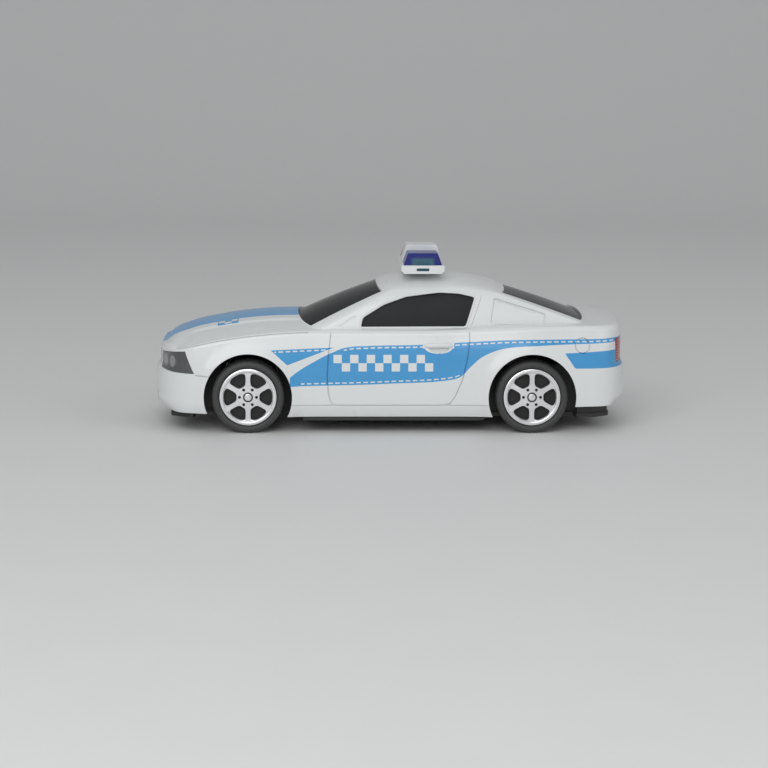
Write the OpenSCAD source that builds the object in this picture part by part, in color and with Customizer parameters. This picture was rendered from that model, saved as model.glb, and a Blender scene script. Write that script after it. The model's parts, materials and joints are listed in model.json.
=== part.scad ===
// Toy police car that stands on its four tyres.
// The nose points along -X and +Z is up. The origin lies on the ground under the middle of the car.

/* [Body] */
// Overall length of the body shell
body_len = 190; // [186:0.5:196]
// Width across the doors
door_w = 75.6; // [75:0.2:78]
// Swell of the front fenders past the doors, each side
front_swell = 0.9; // [0.4:0.1:1.4]
// Swell of the rear haunches past the doors, each side
rear_swell = 1.6; // [0.8:0.1:2]
// Length of each swell to either side of its axle
swell_reach = 32; // [26:1:36]
// Wall of the body shell below the window line
shell_wall = 1.4; // [1.2:0.1:1.7]
// Height of the sill's lower edge
sill_h = 6.6; // [6.6:0.1:7.2]
// Height of the front bumper's lower edge
front_lip_h = 8; // [7:0.1:9]
// Height of the rear bumper's lower edge
rear_lip_h = 11; // [9:0.1:12]
// Height of the crease along the body side, at the doors
belt_h = 41; // [40:0.1:42]
// Rise of that crease from the doors to the tail
belt_rise = 2; // [1.6:0.1:2.4]
// Height of the bonnet's front edge in the middle
nose_h = 34; // [33:0.1:35]
// Height of the fender crease at the nose
fender_nose_h = 31.4; // [31:0.1:32]
// Height of the bonnet's rear edge in the middle
cowl_h = 44.6; // [44:0.1:45.4]
// Height of the boot lid in the middle
deck_h = 44.2; // [43.8:0.1:44.8]
// Rounding between the body side and the bonnet
shoulder_r = 2.4; // [1.8:0.1:3]
// Length of the rounded front corner in plan
nose_corner = 27; // [24:0.5:30]
// Length of the rounded rear corner in plan
tail_corner = 24; // [22:0.5:27]
// Radius of the wheel arch
arch_r = 17.5; // [17:0.1:18]
// Outward flare of the body round each wheel arch
arch_flare = 0.8; // [0.4:0.1:1.2]

/* [Cabin] */
// Wall of the shell round the windows
cabin_wall = 1; // [0.8:0.05:1.2]
// Thickness of the window insert
glass_t = 1; // [0.8:0.05:1.2]
// Height of the roof's crown
roof_h = 61.3; // [60.5:0.1:62]
// Distance from the nose back to the foot of the windscreen
screen_foot = 57; // [56:0.5:58]
// Run of the windscreen in side view
screen_run = 33.5; // [32:0.5:35]
// Length of the roof
roof_len = 49.9; // [49.5:0.1:50.3]
// Run of the rear window in side view
back_run = 34; // [33:0.5:34.5]
// Half the width of the cabin at the window line
cabin_half = 33.2; // [32.6:0.1:33.6]
// Half the width of the roof at its edge
roof_half = 25.6; // [25:0.1:26.2]

/* [Wheels] */
// Distance between the axles
wheelbase = 113; // [111:0.5:115]
// Distance from the nose to the front axle
front_overhang = 38; // [37:0.5:39]
// Outer diameter of the tyres
tyre_d = 29; // [28.6:0.1:29.4]
// Width of the tyres
tyre_w = 10.6; // [10:0.1:11]
// How far the tyre's outer face lies inside the door's side
wheel_inset = 0.2; // [0:0.1:0.6]
// Diameter of the silver rim
rim_d = 22.8; // [22:0.1:23.4]
// Thickness of the rim's barrel
barrel_t = 1; // [0.8:0.1:1.2]
// Thickness of the rim's spoked face
spoke_t = 1.4; // [1.2:0.1:1.8]
// Number of spokes
spokes = 6; // [5:1:7]
// Width of a spoke
spoke_w = 2.3; // [2:0.1:2.8]
// Diameter of the axles
axle_d = 2; // [1.8:0.1:2.2]

/* [Light bar] */
// Length of the light bar across the roof
bar_len = 43; // [40:0.5:45]
// Width of the light bar's base
bar_w = 17.4; // [16:0.2:18.4]
// Height of the base
bar_base_h = 3.4; // [3.2:0.1:3.8]
// Height of the foot between roof and base
bar_foot_h = 0.7; // [0.6:0.1:1.2]
// Height of the middle block above the base
bar_block_h = 6.9; // [6.4:0.1:7.4]
// Length of the middle block across the roof
bar_block_len = 13; // [11:0.5:15]
// Height of the lenses above the base
lens_h = 4.7; // [4.2:0.1:5.2]
// Distance of the bar's middle behind the middle of the car
bar_x = 12.9; // [11:0.1:15]

/* [Chassis] */
// Height of the chassis underside
chassis_h = 4.9; // [4.7:0.1:5]
// Thickness of the chassis floor
floor_t = 1.6; // [1.5:0.05:1.65]
// Half the width of the floor between the wheels
floor_half = 35; // [34.4:0.1:35.2]
// Half the width of the floor at the rear axle
rear_half = 24.6; // [24.2:0.1:25]
// Half the width of the floor at the front axle
front_half = 17; // [16.6:0.1:17.4]
// Wall of the battery box
box_wall = 1.2; // [1:0.1:1.4]
// Diameter of a battery cell
cell_d = 14.4; // [14.2:0.1:14.5]
// Length of a battery cell without its button
cell_len = 49.2; // [48.8:0.1:49.6]

/* [Steering] */
// Distance of the kingpins ahead of the front axle
trail = 3; // [2.6:0.1:3.4]
// Half the distance between the kingpins
kingpin_y = 20.4; // [20.2:0.1:20.6]
// Diameter of the kingpins
kingpin_d = 2; // [1.8:0.1:2.2]
// Length of the steering arms
arm_len = 9; // [8.4:0.1:9.6]

/* [Drive] */
// Module of the gears
gear_m = 0.5; // [0.48:0.01:0.5]
// Teeth on the axle gear and on the large reduction gear
big_teeth = 26; // [25:1:26]
// Teeth on the pinion and on the small reduction gear
small_teeth = 10; // [10:1:10]
// Face width of the gears
gear_w = 3.5; // [3:0.1:3.6]
// Extra distance between meshing gears
mesh_extra = 0.1; // [0.08:0.01:0.14]
// Diameter of the reduction gear's shaft
shaft_d = 1.5; // [1.4:0.1:1.6]

/* [Fits] */
// Radial clearance of a shaft that runs in a bore
run_fit = 0.05; // [0.03:0.01:0.08]
// Clearance between pieces that are fixed together
seat_fit = 0.1; // [0.05:0.01:0.15]
// Clearance between pieces that move past each other
move_gap = 0.4; // [0.3:0.05:0.5]

/* [Hidden] */
$fn = 48;

// Overrun of every cut past the face that it opens
over = 1;

// Places along the car that follow from the driving sizes
nose_x = -body_len / 2;
tail_x = body_len / 2;
front_x = nose_x + front_overhang;
rear_x = front_x + wheelbase;
axle_z = tyre_d / 2;
cowl_x = nose_x + screen_foot;
roof_front_x = cowl_x + screen_run;
roof_rear_x = roof_front_x + roof_len;
deck_x = roof_rear_x + back_run;

// Plain helpers
function mix(a, b, k) = a + (b - a) * k;
function clamp01(k) = min(1, max(0, k));
function smooth(k) = let (c = clamp01(k)) c * c * (3 - 2 * c);
function swell(k) = abs(k) < 1 ? pow(1 - k * k, 2) : 0;

// Squareness of the rounded corners in plan, as powers of a superellipse
nose_power_share = 3;
tail_power_share = 3.6;
// Shares of the corner at which the front or the rear face turns into the side
turn_shares = [0.38, 0.72];
// Length over which the fender crease climbs from the nose to the doors
fender_run = 65;
// Length over which the crease climbs from the doors to the tail
belt_run = 62;
// Distance from nose and tail at which the bonnet's and the boot lid's middle lines start
spine_in = 12;
// Powers of the bonnet's and the fender's rise
bonnet_power_share = 2.2;
fender_power_share = 2;
// Heights of the side's widest band, and how far the side draws in below and above it
waist_low_h = 13;
waist_high_h = 22;
sill_tuck = 1.7;
side_lean = 2.2;
// Heights of the bumper's face, and how far chin and nose lie behind it
bumper_low_h = 13;
bumper_high_h = 23;
bumper_step = 2.4;
chin_tuck = 3;
nose_setback = 1.8;
// The same for the rear bumper
tail_low_h = 15;
tail_high_h = 25;
tail_step = 3;
tail_tuck = 3.4;
tail_setback = 1.2;
// Reach of the flare outside the wheel arch
flare_reach = 5;

// Half the width of the body at a place along the car
function half_w(x) = door_w / 2
    + front_swell * swell((x - front_x) / swell_reach)
    + rear_swell * swell((x - rear_x) / swell_reach);

// Plan outline of one half: s runs 0 to 1 round the nose, to 2 along the side and to 3 round the tail;
// d is an inset
function plan(s, d) =
    s < 1 ? let (x1 = nose_x + nose_corner, e = 2 / nose_power_share)
        [x1 - (nose_corner - d) * pow(cos(90 * s), e), (half_w(x1) - d) * pow(sin(90 * s), e)]
    : s <= 2 ? let (x = mix(nose_x + nose_corner, tail_x - tail_corner, s - 1))
        [x, half_w(x) - d]
    : let (x2 = tail_x - tail_corner, e = 2 / tail_power_share)
        [x2 + (tail_corner - d) * pow(sin(90 * (s - 2)), e), (half_w(x2) - d) * pow(cos(90 * (s - 2)), e)];

// How much a place on the outline belongs to the front face and to the rear face
function front_part(s) = 1 - smooth((s - turn_shares[0]) / (turn_shares[1] - turn_shares[0]));
function rear_part(s) = 1 - smooth((3 - s - turn_shares[0]) / (turn_shares[1] - turn_shares[0]));

// Draw-in below a low height and above a high one
function below(z, low, end) = pow(clamp01((low - z) / (low - end)), 2);
function above(z, high, end) = pow(max(0, (z - high) / (end - high)), 2);

// Inset of the wall at a height, from the shapes of the side, the front face and the rear face
function wall_inset(s, z) = let (f = front_part(s), r = rear_part(s))
    (1 - f - r) * (sill_tuck * below(z, waist_low_h, sill_h) + side_lean * above(z, waist_high_h, belt_h))
    + f * (chin_tuck * below(z, bumper_low_h, front_lip_h)
        + nose_setback * smooth((z - bumper_high_h) / bumper_step))
    + r * (tail_tuck * below(z, tail_low_h, rear_lip_h)
        + tail_setback * smooth((z - tail_high_h) / tail_step));

// Outward flare at a distance from an axle
function flare_at(x, z, ax) = let (r = norm([x - ax, z - axle_z]))
    arch_flare * smooth(1 - (r - arch_r) / flare_reach);
function flare(s, x, z) = (1 - front_part(s) - rear_part(s))
    * max(flare_at(x, z, front_x), flare_at(x, z, rear_x));

// Height of the crease between side and top, and of the lower edge
function edge_z(s) = let (x = plan(s, 0).x)
    fender_nose_h
    + (belt_h - fender_nose_h) * (1 - pow(1 - clamp01((x - nose_x) / fender_run), fender_power_share))
    + belt_rise * smooth((x - (tail_x - tail_corner - belt_run)) / belt_run)
    + (nose_h - fender_nose_h) * front_part(s);
function lip_z(s) = let (x = plan(s, 0).x) x < front_x ? front_lip_h : x > rear_x ? rear_lip_h : sill_h;

// Middle line of the bonnet and the boot lid
function spine_x(s) = let (x = plan(s, 0).x)
    s < 1 ? mix(nose_x + spine_in, nose_x + nose_corner, (x - nose_x) / nose_corner)
    : s > 2 ? mix(tail_x - spine_in, tail_x - tail_corner, (tail_x - x) / tail_corner)
    : x;
function spine_z(x) = x < cowl_x
    ? nose_h + (cowl_h - nose_h) * (1 - pow(1 - (x - nose_x) / (cowl_x - nose_x), bonnet_power_share))
    : mix(cowl_h, deck_h, smooth((x - cowl_x) / (deck_x - cowl_x)));

// A point on the wall of the body at inset d
function wall_point(s, z, d) = let (p = plan(s, d + wall_inset(s, z)))
    [p.x, p.y + flare(s, p.x, z) * sign(p.y), z];

// Rows of points up one column of the body: the wall, the rounded shoulder and the top
wall_shares = [0, 0.12, 0.25, 0.4, 0.52, 0.66, 0.83, 1];
shoulder_angles = [30, 60, 90];
top_shares = [0.1, 0.35, 0.65, 1];
// The same for the inside, which needs fewer
inner_wall_shares = [0, 0.16, 0.26, 0.36, 0.6, 0.8, 1];
inner_shoulder_angles = [45, 90];
inner_top_shares = [0.35, 1];
function body_column(s, d, drop, walls, angles, tops) = let (
        ze = edge_z(s) - d,
        zt = ze - shoulder_r,
        zb = lip_z(s) - drop,
        w = wall_inset(s, zt),
        e = plan(s, d + w + shoulder_r),
        c = [spine_x(s), 0],
        zc = spine_z(c.x) - d)
    concat(
        [for (k = walls) wall_point(s, mix(zb, zt, k), d)],
        [for (a = angles) let (p = plan(s, d + w + shoulder_r * (1 - cos(a))), z = zt + shoulder_r * sin(a))
            [p.x, p.y + flare(s, p.x, z) * sign(p.y), z]],
        [for (k = tops) [mix(e.x, c.x, k), mix(e.y, c.y, k), ze + (zc - ze) * (1 - pow(1 - k, 2))]]);

// Closed solid over a row of columns from nose to tail and their mirror images
module loft(cols) {
    n = len(cols) - 1;
    m = len(cols[0]) - 1;
    left = (n + 1) * (m + 1);
    points = concat(
        [for (c = cols) for (p = c) p],
        [for (i = [1 : n - 1]) for (j = [0 : m - 1]) let (p = cols[i][j]) [p.x, -p.y, p.z]]);
    function at(i, j, side) = side == 0 || i == 0 || i == n || j == m
        ? i * (m + 1) + j
        : left + (i - 1) * m + j;
    quads = concat(
        [for (i = [0 : n - 1]) for (j = [0 : m - 1])
            [at(i, j, 0), at(i + 1, j, 0), at(i + 1, j + 1, 0), at(i, j + 1, 0)]],
        [for (i = [0 : n - 1]) for (j = [0 : m - 1])
            [at(i, j + 1, 1), at(i + 1, j + 1, 1), at(i + 1, j, 1), at(i, j, 1)]],
        [for (i = [0 : n - 1]) [at(i, 0, 1), at(i + 1, 0, 1), at(i + 1, 0, 0), at(i, 0, 0)]]);
    triangles = [for (q = quads) for (t = [[q[0], q[1], q[2]], [q[0], q[2], q[3]]])
        if (t[0] != t[1] && t[1] != t[2] && t[2] != t[0]) t];
    polyhedron(points, triangles);
}

// Stations round half of the outline
nose_steps = 12;
side_steps = 24;
tail_steps = 10;
function stations(nose, side, tail) = concat(
    [for (i = [0 : nose - 1]) i / nose],
    [for (i = [0 : side - 1]) 1 + i / side],
    [for (i = [0 : tail]) 2 + i / tail]);
module body_solid() {
    loft([for (s = stations(nose_steps, side_steps, tail_steps))
        body_column(s, 0, 0, wall_shares, shoulder_angles, top_shares)]);
}
module body_inside(d) {
    loft([for (s = stations(nose_steps / 2, side_steps / 2, tail_steps / 2))
        body_column(s, d, sill_h, inner_wall_shares, inner_shoulder_angles, inner_top_shares)]);
}

// Bow of the windscreen's foot and head in plan, and of the rear window's
screen_bow = 12;
screen_head_bow = 5;
back_bow = 5;
back_head_bow = 5;
bow_power_share = 2.5;
// Drop from the roof's middle line to its edges at the front, the middle and the rear
roof_drops = [2.8, 5.1, 1.4];
// Fall of the roof's middle line towards the windscreen and the rear window
roof_fall_front = 3.4;
roof_fall_rear = 5.6;
// Place of the roof's crown along the roof
crown_share = 0.4;
// Height of the cabin's foot at the sides, and its depth inside the body
cabin_foot_h = 41.4;
cabin_depth = 6;
// Outward bulge of the side glass and upward bulge of the two screens
side_bulge = 0.7;
screen_bulge = 0.9;
// Taper of the cabin's foot and of the roof towards the rear, each side
cabin_taper = 4.6;
roof_taper = 1.4;
// Shares of glass and roof taken by the rounded roof edge
glass_round_share = 0.16;
roof_round_share = 0.2;

// Half outline with a bowed front, a straight side and a bowed rear
function bowed(s, x0, x1, bow0, bow1, w0, w1) = let (e = 2 / bow_power_share)
    s < 1 ? [x0 + bow0 * (1 - pow(cos(90 * s), e)), w0 * pow(sin(90 * s), e)]
    : s <= 2 ? [mix(x0 + bow0, x1 - bow1, s - 1), mix(w0, w1, s - 1)]
    : [x1 - bow1 * (1 - pow(sin(90 * (s - 2)), e)), w1 * pow(cos(90 * (s - 2)), e)];

function roof_line(x) = let (xc = mix(roof_front_x, roof_rear_x, crown_share))
    roof_h - (x < xc ? roof_fall_front * pow((xc - x) / (xc - roof_front_x), 2)
        : roof_fall_rear * pow((x - xc) / (roof_rear_x - xc), 2));

function cabin_foot(s, d) = let (
        p = bowed(s, cowl_x + d, deck_x - d, screen_bow, back_bow,
            cabin_half - d, cabin_half - cabin_taper - d),
        across = 1 - pow(p.y / (cabin_half - d), 2),
        side = cabin_foot_h + belt_rise * smooth((p.x - cowl_x) / (deck_x - cowl_x)),
        mid = s < 1 ? cowl_h : s > 2 ? deck_h : side)
    [p.x, p.y, (s < 1 || s > 2 ? mix(side, mid, across) : side) - d];

function cabin_head(s, d) = let (
        p = bowed(s, roof_front_x, roof_rear_x, screen_head_bow, back_head_bow,
            roof_half - d, roof_half - roof_taper - d),
        k = clamp01((p.x - roof_front_x) / roof_len),
        drop = k < crown_share ? mix(roof_drops[0], roof_drops[1], k / crown_share)
            : mix(roof_drops[1], roof_drops[2], (k - crown_share) / (1 - crown_share)))
    [p.x, p.y, roof_line(p.x) - drop * pow(p.y / (roof_half - d), 2) - d];

function glass_point(s, k, d) = let (
        a = cabin_foot(s, d),
        b = cabin_head(s, d),
        across = s < 1 ? 1 - sin(90 * s) : s > 2 ? 1 - cos(90 * (s - 2)) : 0,
        bulge = 4 * k * (1 - k))
    mix(a, b, k) + [0, (1 - across) * side_bulge * bulge * sign(a.y), across * screen_bulge * bulge];

function roof_point(s, k, d) = let (
        a = cabin_head(s, d),
        xs = clamp01((a.x - roof_front_x) / roof_len),
        cx = mix(roof_front_x + screen_head_bow, roof_rear_x - back_head_bow, xs),
        cz = roof_line(cx) - d)
    [mix(a.x, cx, k), mix(a.y, 0, k), a.z + (cz - a.z) * (1 - pow(1 - k, 2))];

glass_shares = [0, 0.25, 0.5, 0.7];
round_shares = [0, 0.33, 0.67, 1];
roof_shares = [0.55, 1];
function cabin_column(s, d) = let (
        a = glass_point(s, 1 - glass_round_share, d),
        b = cabin_head(s, d),
        c = roof_point(s, roof_round_share, d),
        foot = cabin_foot(s, d))
    concat(
        [foot - [0, 0, cabin_depth]],
        [for (k = glass_shares) glass_point(s, k, d)],
        [for (k = round_shares) a * pow(1 - k, 2) + b * 2 * k * (1 - k) + c * k * k],
        [for (k = roof_shares) roof_point(s, k, d)]);

screen_steps = 8;
cant_steps = 9;
back_steps = 7;
module cabin_solid(d) {
    loft([for (s = stations(screen_steps, cant_steps, back_steps)) cabin_column(s, d)]);
}

// Solid slice of the body wall between two insets, over a stretch of the outline and of the height
// whose far end may rake back towards its foot
function skin_grid(s0, s1, low, high, d, n, m, rake) =
    [for (i = [0 : n]) let (k = i / n)
        [for (j = [0 : m])
            wall_point(mix(s0, s1 - rake * j / m, k),
                mix(mix(low[0], low[1], k), mix(high[0], high[1], k), j / m), d)]];
module skin(s0, s1, low, high, d0, d1, n = 8, m = 3, rake = 0) {
    outer = skin_grid(s0, s1, low, high, d0, n, m, rake);
    inner = skin_grid(s0, s1, low, high, d1, n, m, rake);
    half = (n + 1) * (m + 1);
    function at(i, j, layer) = layer * half + i * (m + 1) + j;
    quads = concat(
        [for (i = [0 : n - 1]) for (j = [0 : m - 1])
            [at(i, j, 0), at(i + 1, j, 0), at(i + 1, j + 1, 0), at(i, j + 1, 0)]],
        [for (i = [0 : n - 1]) for (j = [0 : m - 1])
            [at(i, j + 1, 1), at(i + 1, j + 1, 1), at(i + 1, j, 1), at(i, j, 1)]],
        [for (i = [0 : n - 1]) [at(i, 0, 1), at(i + 1, 0, 1), at(i + 1, 0, 0), at(i, 0, 0)]],
        [for (i = [0 : n - 1]) [at(i, m, 0), at(i + 1, m, 0), at(i + 1, m, 1), at(i, m, 1)]],
        [for (j = [0 : m - 1]) [at(0, j, 1), at(0, j, 0), at(0, j + 1, 0), at(0, j + 1, 1)]],
        [for (j = [0 : m - 1]) [at(n, j, 0), at(n, j, 1), at(n, j + 1, 1), at(n, j + 1, 0)]]);
    polyhedron(
        [for (layer = [outer, inner]) for (c = layer) for (p = c) p],
        [for (q = quads) for (t = [[q[0], q[1], q[2]], [q[0], q[2], q[3]]]) t]);
}

// Copies on both sides of the car, or on one side only
module both_sides() {
    children();
    mirror([0, 1, 0]) children();
}
module on_side(side) {
    if (side > 0) children();
    else mirror([0, 1, 0]) children();
}

// Corners of an outline rounded with short curves
round_steps = 4;
function unit(v) = v / norm(v);
function rounded(points, r) = let (n = len(points))
    [for (i = [0 : n - 1]) let (
            b = points[i],
            a = b + r * unit(points[(i + n - 1) % n] - b),
            c = b + r * unit(points[(i + 1) % n] - b))
        for (j = [0 : round_steps]) let (k = j / round_steps)
            a * pow(1 - k, 2) + b * 2 * k * (1 - k) + c * k * k];

// Lamps and grille: stretches of the outline, and their lower and upper edges at both ends,
// as shares of the height of the nose or of the belt
headlamp_shares = [0.26, 0.85];
headlamp_rake_share = 0.1;
headlamp_low_shares = [0.7235, 0.7059];
headlamp_high_shares = [0.9118, 0.9588];
headlamp_low = nose_h * headlamp_low_shares;
headlamp_high = nose_h * headlamp_high_shares;
grille_shares = [0, 0.2];
grille_low_shares = [0.7353, 0.7353];
grille_high_shares = [0.9176, 0.9118];
grille_low = nose_h * grille_low_shares;
grille_high = nose_h * grille_high_shares;
intake_shares = [0, 0.27];
intake_low_shares = [0.3235, 0.3235];
intake_high_shares = [0.4412, 0.4412];
intake_low = nose_h * intake_low_shares;
intake_high = nose_h * intake_high_shares;
tail_lamp_shares = [2.48, 2.86];
tail_lamp_low_shares = [0.6829, 0.6927];
tail_lamp_high_shares = [0.9122, 0.9171];
tail_lamp_low = belt_h * tail_lamp_low_shares;
tail_lamp_high = belt_h * tail_lamp_high_shares;
// How much wider than its lens each opening is along the outline
lamp_fit_share = 0.004;
// Depth of a lens behind the wall, of the grille's bars and of its backing
lens_depth = 0.9;
bar_depth = 0.9;
backing_t = 1;
bars = 4;
bar_share = 0.4;

module lamp(shares, low, high, d0, d1, grow, side_grow, rake = 0) {
    g = [grow, grow];
    skin(shares[0] - side_grow, shares[1] + side_grow, low - g, high + g, d0, d1, rake = rake);
}
module middle_opening(shares, low, high) {
    both_sides() lamp([0, shares[1]], low, high, -over, shell_wall + over, seat_fit, 0);
}

// Side window in side view, as shares of its length and height
window_in = 25.3;
window_x = cowl_x + window_in;
window_len = 46.6;
window_lift = 0.3;
window_z = cabin_foot_h + window_lift;
window_h = 13.8;
window_round = 1.3;
window_shares = [[0, 0], [0.02, 0.3], [0.206, 0.67], [0.4, 0.89], [0.685, 1],
    [0.86, 0.97], [1, 0.86], [0.915, 0]];
// Sunk panel behind the side window, as shares of the same length and height
sail_shares = [[1.152, 0.84], [1.607, 0.38], [1.59, 0.1], [1.116, 0.1]];
sail_depth = 0.45;
// Sunk panel in front of the side window, as shares of the same length and height
quarter_shares = [[-0.19, 0.03], [-0.035, 0.36], [-0.03, 0.03]];
quarter_depth = 0.35;
quarter_round = 0.8;
// Windscreen and rear window as stretches of the cabin's outline and shares of the glass height
screen_shares = [0, 0.7];
screen_height_shares = [0.02, 0.965];
back_shares = [3, 2.3];
back_height_shares = [0.035, 0.965];

module side_prism(shares, r) {
    translate([window_x, door_w, window_z])
        rotate([90, 0, 0])
            linear_extrude(2 * door_w)
                polygon(rounded([for (p = shares) [p.x * window_len, p.y * window_h]], r));
}
// Opening that follows the glass: a row of points at each height, and their mirror images
function screen_row(shares, height) = [for (i = [0.5 : screen_steps])
    let (p = glass_point(mix(shares[0], shares[1], i / screen_steps), height, 0)) [p.x, p.y]];
function other_side(points) = [for (p = points) [p.x, -p.y]];
function turned_round(points) = [for (i = [len(points) - 1 : -1 : 0]) points[i]];
module screen_prism(shares, heights) {
    low = screen_row(shares, heights[0]);
    high = screen_row(shares, heights[1]);
    translate([0, 0, cabin_foot_h])
        linear_extrude(roof_h)
            polygon(concat(turned_round(other_side(low)), low, turned_round(high), other_side(high)));
}

// A point on the body's side, and a groove that follows it
groove_r = 0.3;
function side_point(x, z) = let (s = 1 + (x - nose_x - nose_corner) / (body_len - nose_corner - tail_corner))
    wall_point(s, z, 0);
module groove(route) {
    points = [for (p = route) side_point(p.x, p.y)];
    for (i = [0 : len(points) - 2])
        hull() {
            translate(points[i]) sphere(groove_r, $fn = 4);
            translate(points[i + 1]) sphere(groove_r, $fn = 4);
        }
}
// Door shut line, as shares of the door's length and of the height from the sill to the belt
door_in = 12.4;
door_x = cowl_x + door_in;
door_len = 56.6;
door_low_h = 11.4;
door_high_h = belt_h - shoulder_r;
door_shares = [[0.03, 1], [0.01, 0.7], [0, 0.42], [0.01, 0.15], [0.03, 0.03], [0.06, 0],
    [0.4, 0], [0.8, 0], [0.86, 0.02], [0.9, 0.12], [0.95, 0.35], [0.985, 0.65], [1, 0.86], [0.995, 1]];
// Door handle: place, length and height of its bar, and the bowl behind it
handle_in = 56.6;
handle_drop = 5.8;
handle_x = cowl_x + handle_in;
handle_z = belt_h - handle_drop;
handle_len = 11.4;
handle_r = 0.8;
handle_bowl_r = 3.4;
handle_bowl_depth = 0.7;
// Screw bosses under the bonnet and the boot lid
boss_front_in = 14;
boss_rear_in = 13;
boss_front_y = 12;
boss_rear_y = 17;
boss_places = [[nose_x + boss_front_in, boss_front_y], [tail_x - boss_rear_in, boss_rear_y]];
boss_r = 3;
screw_d = 2.2;
screw_len = 10;
screw_head_d = 4.4;
// Pegs of the light bar
peg_d = 2.6;
peg_y = 4.6;
peg_len = 4;

module handle_bar() {
    p = side_point(handle_x, handle_z);
    q = side_point(handle_x + handle_len, handle_z);
    hull() {
        translate(p) sphere(handle_r, $fn = 8);
        translate(q) sphere(handle_r, $fn = 8);
    }
}
module handle_bowl() {
    p = side_point(handle_x + handle_len / 2, handle_z);
    depth = [0, handle_bowl_depth, 0];
    intersection() {
        translate(p - depth)
            rotate([-90, 0, 0])
                cylinder(r = handle_bowl_r, h = over + handle_bowl_depth, $fn = 24);
        translate(p - [handle_len, door_w / 2, handle_len])
            cube([2 * handle_len, door_w, handle_len]);
    }
}

module peg_places() {
    for (y = [-peg_y, peg_y]) translate([bar_x, y, 0]) children();
}
module boss_spots() {
    for (p = boss_places) for (y = [-p.y, p.y]) translate([p.x, y, 0]) children();
}

module body_shell() {
    color("white")
    difference() {
        union() {
            difference() {
                union() {
                    body_solid();
                    cabin_solid(0);
                }
                body_inside(shell_wall);
                cabin_solid(cabin_wall);
            }
            intersection() {
                body_inside(shell_wall / 2);
                boss_spots() translate([0, 0, chassis_h + floor_t + seat_fit])
                    cylinder(r = boss_r, h = roof_h, $fn = 20);
            }
            both_sides() handle_bar();
        }
        for (x = [front_x, rear_x])
            translate([x, -door_w, axle_z])
                rotate([-90, 0, 0])
                    cylinder(r = arch_r, h = 2 * door_w);
        side_prism(window_shares, window_round);
        difference() {
            side_prism(sail_shares, window_round);
            cabin_solid(sail_depth);
        }
        difference() {
            side_prism(quarter_shares, quarter_round);
            cabin_solid(quarter_depth);
        }
        screen_prism(screen_shares, screen_height_shares);
        screen_prism(back_shares, back_height_shares);
        both_sides() lamp(headlamp_shares, headlamp_low, headlamp_high, -over, shell_wall + over,
            seat_fit, lamp_fit_share, headlamp_rake_share);
        both_sides() lamp(tail_lamp_shares, tail_lamp_low, tail_lamp_high, -over, shell_wall + over,
            seat_fit, lamp_fit_share);
        middle_opening(grille_shares + [0, lamp_fit_share], grille_low, grille_high);
        middle_opening(intake_shares + [0, lamp_fit_share], intake_low, intake_high);
        both_sides() groove([for (p = door_shares)
            [door_x + p.x * door_len, mix(door_low_h, door_high_h, p.y)]]);
        both_sides() handle_bowl();
        peg_places() cylinder(d = peg_d + 2 * seat_fit, h = 2 * roof_h, $fn = 20);
        boss_spots() cylinder(d = screw_d + 2 * seat_fit, h = chassis_h + floor_t + screw_len, $fn = 20);
    }
}

module window_insert() {
    color("dimgray")
    difference() {
        cabin_solid(cabin_wall + seat_fit);
        cabin_solid(cabin_wall + seat_fit + glass_t);
        peg_places() cylinder(d = peg_d + 2 * move_gap, h = 2 * roof_h);
    }
}

module grille_insert() {
    color("black")
    both_sides() {
        skin(grille_shares[0], grille_shares[1], grille_low, grille_high,
            shell_wall - bar_depth + seat_fit, shell_wall + backing_t, 4, 2);
        skin(intake_shares[0], intake_shares[1], intake_low, intake_high,
            shell_wall - bar_depth + seat_fit, shell_wall + backing_t, 4, 2);
        for (i = [1 : bars]) let (
                z0 = mix(grille_low[0], grille_high[0], (i - bar_share) / bars),
                z1 = mix(grille_low[0], grille_high[0], i / bars) - seat_fit)
            skin(grille_shares[0], grille_shares[1], [z0, z0], [z1, z1], seat_fit, shell_wall, 4, 1);
    }
}

// Cup of a headlight: radius, depth and wall, and its place behind the lens
cup_r = 3;
cup_depth = 4;
cup_wall = 0.8;
cup_y = 26;
cup_gap = 5.4;
module headlight_reflectors() {
    z = (headlamp_low[0] + headlamp_high[0]) / 2;
    color("silver")
    both_sides()
        translate([nose_x + nose_setback + shell_wall + lens_depth + cup_gap, cup_y, z])
            rotate([0, 90, 0])
                rotate_extrude()
                    polygon([[0, cup_depth], [0, cup_depth - cup_wall], [cup_r / 2, cup_depth - 2 * cup_wall],
                        [cup_r - cup_wall, 0], [cup_r, 0], [cup_r, cup_depth]]);
}
module headlight_lens(side) {
    color("lightgray")
    on_side(side)
        lamp(headlamp_shares, headlamp_low, headlamp_high, seat_fit, shell_wall + lens_depth, 0, 0,
            headlamp_rake_share);
}
module tail_light_lens(side) {
    color("firebrick")
    on_side(side)
        lamp(tail_lamp_shares, tail_lamp_low, tail_lamp_high, seat_fit, shell_wall + lens_depth, 0, 0);
}

// Light bar: heights from the roof up, chamfer of the base and hips of block and lenses
bar_z = roof_h + seat_fit + bar_foot_h;
bar_top = bar_z + bar_base_h;
bar_chamfer = 1.2;
foot_w = 8;
foot_len = 15;
block_foot_w = 16.6;
block_top_w = 12.2;
lens_foot_w = 15.4;
lens_top_w = 12;
lens_hip = 1.6;
lens_wall = 1;
lens_end = 0.6;
tab_w = 4.8;
tab_t = 1;
tab_len = 2.2;
tab_slot_h = 1.1;

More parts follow.
